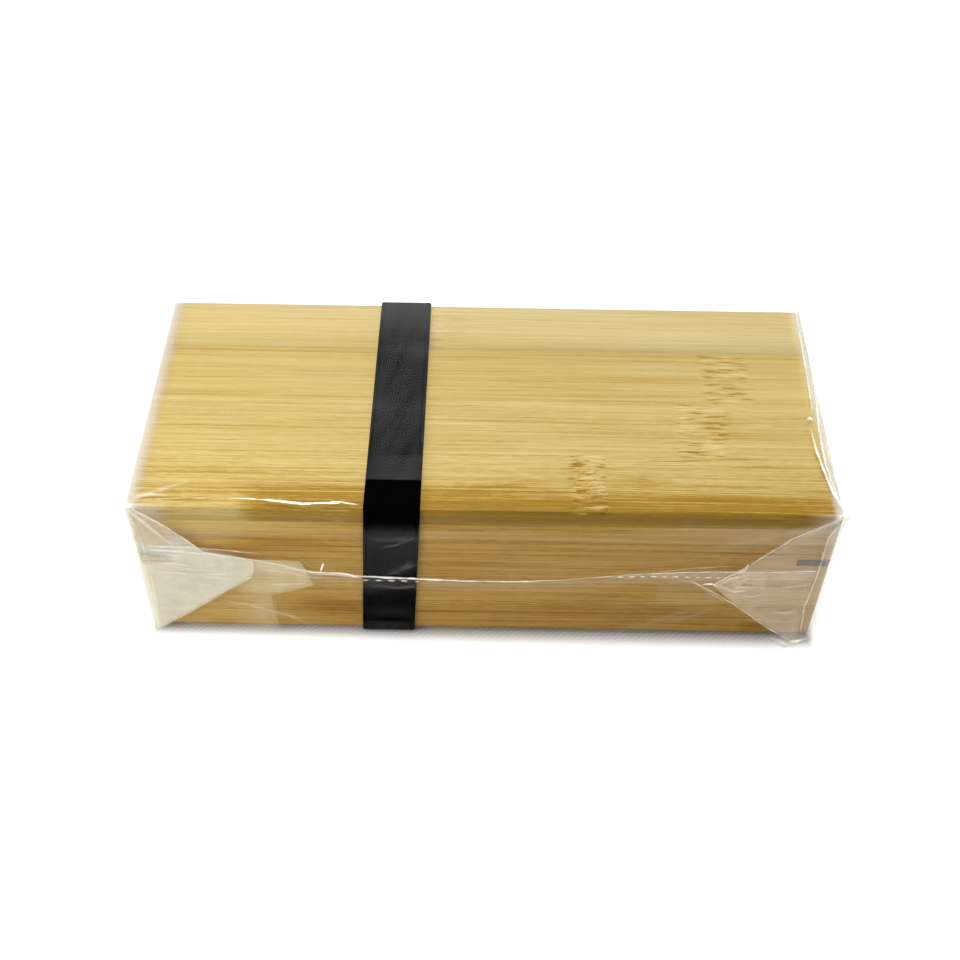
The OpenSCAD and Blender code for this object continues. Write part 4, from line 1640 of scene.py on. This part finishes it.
class BENTO_OT_creases(bpy.types.Operator):
    """Folds, creases and wrinkles that stand off the film. Their milkiness is partly the film's own and
    partly painted highlights.
    """

    bl_idname = "bento.creases"
    bl_label = "Creases"

    # (points right of the left end and below the top, width, strength, fades at the ends)
    FRONT = [
        ([(0.8, -2.7), (10.8, 6.3), (19.6, 17.0)], 0.8, 0.26, (0.05, 0.1)),
        ([(0.8, -2.6), (12.2, 7.6)], 0.6, 0.12, (0.1, 0.4)),
        ([(0.6, -2.4), (5.2, 5.0), (12.8, 16.1)], 2.0, 0.2, (0.05, 0.4)),
        ([(0.5, -2.0), (2.4, 6.0), (2.9, 14.8), (3.0, 25.8)], 0.8, 0.14, (0.1, 0.1)),
        ([(3.0, 25.8), (2.4, 42.0), (0.9, 54.5)], 0.8, 0.12, (0.05, 0.1)),
        ([(19.6, 17.1), (33.2, 20.3), (33.0, 24.4), (32.3, 28.0)], 0.55, 0.36, (0.05, 0.1)),
        ([(32.3, 28.1), (29.0, 30.6)], 0.9, 0.34, (0.1, 0.3)),
        ([(32.4, 28.1), (19.2, 39.6), (1.0, 54.5)], 0.6, 0.12, (0.05, 0.05)),
        ([(3.0, 25.6), (12.0, 27.0), (20.2, 27.0)], 0.5, 0.3, (0.3, 0.2)),
        ([(20.0, 26.9), (24.0, 27.3)], 0.6, 0.6, (0.2, 0.3)),
        ([(2.9, 14.6), (15.9, 15.0), (25.6, 16.0), (37.9, 17.6)], 0.7, 0.26, (0.1, 0.2)),
        ([(3.2, 16.4), (14.0, 16.9), (24.0, 18.4), (32.0, 20.6)], 1.3, 0.24, (0.1, 0.2)),
        ([(3.4, 18.2), (9.0, 18.2), (14.0, 19.0)], 0.6, 0.26, (0.2, 0.3)),
        ([(3.4, 20.3), (8.4, 20.2), (12.0, 20.8)], 0.5, 0.26, (0.2, 0.3)),
        ([(3.4, 22.6), (9.0, 22.3), (17.0, 23.5)], 0.8, 0.2, (0.2, 0.3)),
        ([(8.0, 23.8), (16.0, 25.0), (27.0, 26.2)], 0.9, 0.14, (0.3, 0.3)),
        ([(16.0, 27.6), (24.0, 29.0), (29.0, 28.8)], 1.4, 0.12, (0.3, 0.3)),
        ([(37.9, 17.6), (47.0, 18.6), (50.6, 24.6)], 0.5, 0.08, (0.2, 0.2)),
        ([(33.4, 20.3), (41.4, 22.5), (49.8, 25.2)], 1.0, 0.18, (0.1, 0.2)),
        ([(34.0, 23.6), (43.0, 25.8), (50.0, 27.6), (57.0, 28.6)], 0.8, 0.14, (0.2, 0.3)),
        ([(36.0, 31.6), (43.0, 31.0), (49.6, 30.2)], 0.7, 0.18, (0.3, 0.2)),
        ([(38.0, 35.8), (37.7, 45.0), (37.5, 54.4)], 0.4, 0.12, (0.1, 0.05)),
        ([(27.4, 39.6), (26.6, 46.0), (25.7, 53.6)], 0.5, 0.05, (0.2, 0.1)),
        ([(19.0, 38.6), (30.0, 41.6), (42.0, 46.6), (51.0, 53.2)], 1.8, 0.08, (0.2, 0.3)),
        # A painted glint: a short, bright tick on the film
        ([(53.8, 20.8), (53.1, 23.0), (52.3, 25.6)], 0.62, 1.0, (0.2, 0.3)),
        ([(58.4, 25.4), (61.6, 26.6), (64.0, 27.8)], 0.8, 0.9, (0.3, 0.3)),
        ([(66.6, 9.8), (73.0, 10.2), (80.9, 9.6)], 2.6, 0.024, (0.2, 0.3)),
        ([(70.3, 14.3), (75.0, 12.4), (80.9, 8.8)], 1.2, 0.02, (0.2, 0.3)),
        ([(70.6, 26.4), (75.0, 24.4), (80.6, 20.6)], 2.2, 0.03, (0.3, 0.25)),
        ([(72.0, 24.2), (76.0, 22.4), (80.6, 18.6)], 1.0, 0.02, (0.3, 0.25)),
        ([(66.2, 31.2), (74.0, 32.2), (82.0, 31.4)], 1.4, 0.03, (0.2, 0.2)),
        ([(199.2, -2.7), (185.8, 7.1), (175.3, 19.7)], 0.8, 0.2, (0.05, 0.1)),
        ([(199.0, -2.6), (186.6, 8.6), (177.4, 20.0)], 1.2, 0.06, (0.1, 0.3)),
        ([(198.0, -1.6), (190.0, 2.6), (176.0, 7.6), (160.0, 15.0)], 3.4, 0.035, (0.2, 0.4)),
        ([(175.3, 18.0), (175.0, 20.6), (173.4, 22.8)], 0.9, 0.3, (0.2, 0.2)),
        ([(174.9, 20.2), (173.0, 22.0), (170.4, 24.4), (166.6, 28.8)], 0.8, 0.2, (0.1, 0.1)),
        ([(163.2, 28.2), (165.6, 27.8), (168.2, 28.8)], 1.4, 0.7, (0.3, 0.3)),
        ([(156.0, 26.0), (160.5, 27.3), (164.0, 29.4)], 0.6, 0.3, (0.3, 0.1)),
        ([(162.0, 27.6), (174.2, 37.7), (185.3, 48.5), (194.2, 55.4)], 0.6, 0.26, (0.1, 0.05)),
        ([(163.4, 29.6), (174.0, 38.8)], 0.8, 0.1, (0.2, 0.4)),
        ([(199.4, -2.4), (195.8, 5.8), (195.9, 23.4), (195.0, 38.4), (196.4, 52.8)], 0.8, 0.2,
         (0.05, 0.1)),
        ([(171.4, 29.0), (184.6, 29.4), (196.2, 27.2)], 0.55, 0.22, (0.15, 0.1)),
        ([(173.0, 25.6), (180.0, 25.0), (194.0, 24.4)], 1.8, 0.06, (0.2, 0.2)),
        ([(169.2, 27.6), (171.4, 25.2), (175.2, 23.8)], 1.1, 0.22, (0.2, 0.2)),
        ([(170.6, 29.6), (173.2, 31.4), (176.4, 30.6)], 1.0, 0.22, (0.2, 0.2)),
        ([(174.0, 25.4), (176.6, 27.0), (180.0, 26.6)], 0.8, 0.16, (0.2, 0.3)),
        ([(174.6, 33.8), (180.0, 33.4), (183.6, 30.8)], 0.7, 0.18, (0.2, 0.3)),
        ([(186.0, 40.6), (190.0, 41.4), (193.4, 39.8)], 1.8, 0.12, (0.3, 0.3)),
        ([(186.0, 45.6), (190.0, 45.6), (193.0, 44.4)], 1.4, 0.08, (0.3, 0.3)),
        ([(150.0, 22.6), (160.0, 20.6), (170.0, 19.8), (176.0, 19.6)], 0.5, 0.14, (0.1, 0.3)),
        ([(159.0, 25.2), (163.4, 29.0), (168.0, 32.6)], 0.5, 0.16, (0.2, 0.2)),
        ([(137.0, 53.4), (150.0, 47.0), (166.5, 37.9)], 3.4, 0.035, (0.3, 0.3)),
        ([(150.0, 50.0), (160.0, 44.6), (170.0, 38.6)], 2.6, 0.03, (0.4, 0.3)),
    ]
    # (points in X and Y on the top of the film, width, strength, fades at the ends)
    TOP = [
        # The first four, by the right edge, are folds of film, made milky partly as painted highlights
        ([(98.2, 42.6), (97.7, 26.5), (97.3, 11.9), (96.4, -5.8)], 0.6, 0.42, (0.02, 0.15)),
        ([(99.5, 42.6), (99.4, 19.8), (98.7, 1.7), (97.4, -10.7), (97.1, -25.9), (98.9, -42.4)], 0.9,
         0.5, (0.02, 0.05)),
        ([(95.1, -10.6), (95.2, -19.0), (96.3, -28.2), (97.5, -36.0), (99.6, -43.2)], 0.85, 0.8,
         (0.2, 0.05)),
        ([(98.6, -12.0), (98.9, -26.0), (99.8, -40.0)], 1.2, 0.3, (0.3, 0.2)),
        ([(-98.9, -43.4), (-91.0, -39.4), (-81.3, -34.6)], 1.9, 0.1, (0.1, 0.5)),
        ([(-98.9, -43.6), (-93.0, -42.8), (-84.0, -42.0), (-74.0, -41.8)], 0.7, 0.12, (0.1, 0.2)),
        ([(-98.9, -42.0), (-92.0, -40.9), (-86.0, -40.6)], 1.4, 0.1, (0.2, 0.4)),
        # A painted glint by the right edge
        ([(94.4, -7.2), (95.4, -6.6), (96.4, -7.4)], 1.4, 0.95, (0.3, 0.3)),
    ]
    # (points in Y and Z on either end of the film, width, strength, fades at the ends)
    ENDS = [
        ([(-43.0, 55.6), (-20.0, 47.0), (12.0, 38.0), (38.0, 33.0)], 0.9, 0.3, (0.02, 0.4)),
        ([(-43.4, 54.6), (-30.0, 42.0), (-14.0, 30.0)], 0.8, 0.24, (0.02, 0.5)),
        ([(-43.4, 53.0), (-37.0, 38.0), (-34.0, 27.0), (-33.6, 14.0)], 0.7, 0.3, (0.02, 0.2)),
        ([(-43.0, 5.0), (-24.0, 12.0), (4.0, 20.0), (34.0, 25.0)], 0.8, 0.24, (0.02, 0.5)),
        ([(-43.4, 6.0), (-33.0, 20.0), (-24.0, 28.0)], 0.7, 0.22, (0.02, 0.5)),
        ([(43.0, 55.0), (30.0, 44.0), (24.0, 30.0)], 0.8, 0.2, (0.02, 0.5)),
        ([(43.0, 5.0), (33.0, 14.0), (20.0, 20.0)], 0.8, 0.18, (0.02, 0.5)),
    ]
    # (points in X and Z on the back of the film, width, strength, fades at the ends)
    BACK = [
        ([(-99.0, 55.4), (-70.0, 47.0), (-38.0, 43.0)], 0.8, 0.26, (0.02, 0.5)),
        ([(-99.4, 54.0), (-84.0, 36.0), (-76.0, 22.0)], 0.7, 0.2, (0.02, 0.5)),
        ([(99.0, 55.4), (74.0, 49.0), (30.0, 46.0)], 0.8, 0.26, (0.02, 0.5)),
        ([(99.4, 54.0), (88.0, 38.0), (80.0, 20.0)], 0.7, 0.2, (0.02, 0.5)),
        ([(-99.0, 5.0), (-60.0, 12.0), (-20.0, 14.0)], 0.7, 0.16, (0.02, 0.5)),
        ([(99.0, 5.0), (66.0, 10.0), (40.0, 16.0)], 0.7, 0.16, (0.02, 0.5)),
    ]
    # A painted highlight: the raised fold where the film leaves the wood along the front top edge, made
    # milky white in place of the lamp's reflection there, in X and Y as well
    EDGE = [
        ([(-72.0, -41.8), (-62.9, -42.1)], 0.55, 0.6, (0.5, 0.1)),
        ([(-64.0, -42.0), (-56.0, -42.7), (-51.5, -43.2), (-50.4, -43.5), (-47.0, -43.2)], 1.0, 1.0,
         (0.25, 0.1)),
        ([(-48.0, -43.2), (-42.0, -43.0), (-39.6, -42.9)], 0.8, 1.0, (0.1, 0.2)),
        ([(-43.0, -42.6), (-40.0, -42.5), (-38.6, -42.9), (-34.6, -43.4)], 0.6, 0.7, (0.1, 0.3)),
    ]

    # How far the front's creases stand off the film, and how deep those on the top lie in it
    FRONT_PROUD = 0.42
    TOP_SUNK = 0.02
    # How high the creases on the top rise, and the painted highlight along its edge
    TOP_LIFT = 0.12
    EDGE_LIFT = 0.2
    # Creases on the ends and the back are wider and fainter. Both ends have the same ones, moved
    # this far one way on the right end and the other way on the left
    SIDE_WIDER = 1.7
    SIDE_FAINTER = 0.45
    END_SHIFT = 3.0

    def over_front(self, point):
        """The way that the film faces at a point on the front, or above it on the top."""
        on_top = -2.5
        return front_facing(TOP_Z - point.z if point.y < FILM_FRONT_Y + 0.9 else on_top)

    def execute(self, context):
        bright = folded_film("bright crease film", paint(255, 252, 242), mottle=0.25, silver=0.9)
        book = RibbonBook()
        for points, width, strength, ends in self.FRONT:
            flat = folded_path([(right, drop, 0) for right, drop in points], 1.0)
            path = [front_point(point.x, point.y, self.FRONT_PROUD) / MM for point in flat]
            book.add(path, self.over_front, width, strength, ends, step=1.4)
        book.close("film_front_creases", bright)
        book = RibbonBook()
        high = FILM_HIGH.z - self.TOP_SUNK
        for rows, lift in ((self.TOP, self.TOP_LIFT), (self.EDGE, self.EDGE_LIFT)):
            for points, width, strength, ends in rows:
                path = [Vector((x, y, high)) for x, y in points]
                book.add(path, (0, 0, 1), width, strength, ends, lift)
        book.close("film_top_creases", bright)
        book = RibbonBook()
        for points, width, strength, ends in self.ENDS:
            for side in (-1, 1):
                shift = self.END_SHIFT * side
                path = [Vector((side * FILM_HIGH.x, y, z - tuck(z))) for y, z in points]
                path = path[:1] + [point + Vector((0, shift, shift)) for point in path[1:]]
                self.add_side(book, path, (side, 0, 0), width, strength, ends)
        for points, width, strength, ends in self.BACK:
            path = [Vector((x, FILM_HIGH.y, z)) for x, z in points]
            self.add_side(book, path, (0, 1, 0), width, strength, ends)
        book.close("film_side_creases", bright)
        return {"FINISHED"}

    def add_side(self, book, path, normal, width, strength, ends):
        """A crease on an end or the back."""
        wide, faint = width * self.SIDE_WIDER, strength * self.SIDE_FAINTER
        book.add(path, normal, wide, faint, ends, step=1.6)


class BENTO_OT_tape(bpy.types.Operator):
    """The two patches of clear tape that hold the ears."""

    bl_idname = "bento.tape"
    bl_label = "Tape"

    def execute(self, context):
        tape = folded_film("clear tape", paint(242, 240, 204), mottle=0.5, silver=0.85)

        def left_haze(right, drop):
            over_ear = fade(right, 26, 33)
            lower = fade(drop, 33, 38)
            return (0.19 - 0.12 * lower + 0.05 * speckle(right, drop, 3.5)) * over_ear + 0.02 * lower

        def right_haze(right, drop):
            return 0.028 + 0.03 * speckle(right, drop, 3.0)

        left = [(24.0, 20.0), (37.6, 20.3), (47.1, 20.5), (48.1, 23.8), (50.1, 31.6), (37.3, 36.7),
                (37.4, 54.6), (24.0, 54.6)]
        right = [(150.4, 21.8), (168.6, 21.4), (168.9, 29.5), (168.6, 37.8), (150.8, 38.2)]
        made_as = dict(proud=0.38, cell=1.6, relief=0.05, slot="tape")
        left_tape = front_patch("tape_patch_left", left, left_haze, tape, **made_as)
        right_tape = front_patch("tape_patch_right", right, right_haze, tape, **made_as)
        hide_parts("tape_left")
        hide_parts("tape_right")
        return {"FINISHED"}


class BENTO_PT_panel(bpy.types.Panel):
    """Lists the pieces of the bento box."""

    bl_idname = "BENTO_PT_panel"
    bl_label = "Bento box"
    bl_space_type = "VIEW_3D"
    bl_region_type = "UI"
    bl_category = "Bento box"

    def draw(self, context):
        for operator in OPERATORS:
            self.layout.operator(operator.bl_idname)
        for name in SETTINGS:
            box = self.layout.box()
            settings = getattr(context.scene, name)
            for key in settings.bl_rna.properties.keys():
                if key not in ("rna_type", "name"):
                    box.prop(settings, key)


OPERATORS = (
    BENTO_OT_stage,
    BENTO_OT_body,
    BENTO_OT_corner_keys,
    BENTO_OT_lid,
    BENTO_OT_divider,
    BENTO_OT_band,
    BENTO_OT_stitching,
    BENTO_OT_film_hood,
    BENTO_OT_seal,
    BENTO_OT_ears,
    BENTO_OT_creases,
    BENTO_OT_tape,
)
SETTINGS = {
    "bento_wood": BentoWoodSettings,
    "bento_band": BentoBandSettings,
    "bento_film": BentoFilmSettings,
    "bento_stage": BentoStageSettings,
}


def register():
    for name, group in SETTINGS.items():
        bpy.utils.register_class(group)
        setattr(bpy.types.Scene, name, bpy.props.PointerProperty(type=group))
    for operator in OPERATORS:
        bpy.utils.register_class(operator)
    bpy.utils.register_class(BENTO_PT_panel)


def unregister():
    bpy.utils.unregister_class(BENTO_PT_panel)
    for operator in reversed(OPERATORS):
        bpy.utils.unregister_class(operator)
    for name, group in SETTINGS.items():
        delattr(bpy.types.Scene, name)
        bpy.utils.unregister_class(group)


def main():
    """Makes every piece in order."""
    register()
    for operator in OPERATORS:
        group, name = operator.bl_idname.split(".")
        getattr(getattr(bpy.ops, group), name)()


if __name__ == "__main__":
    main()
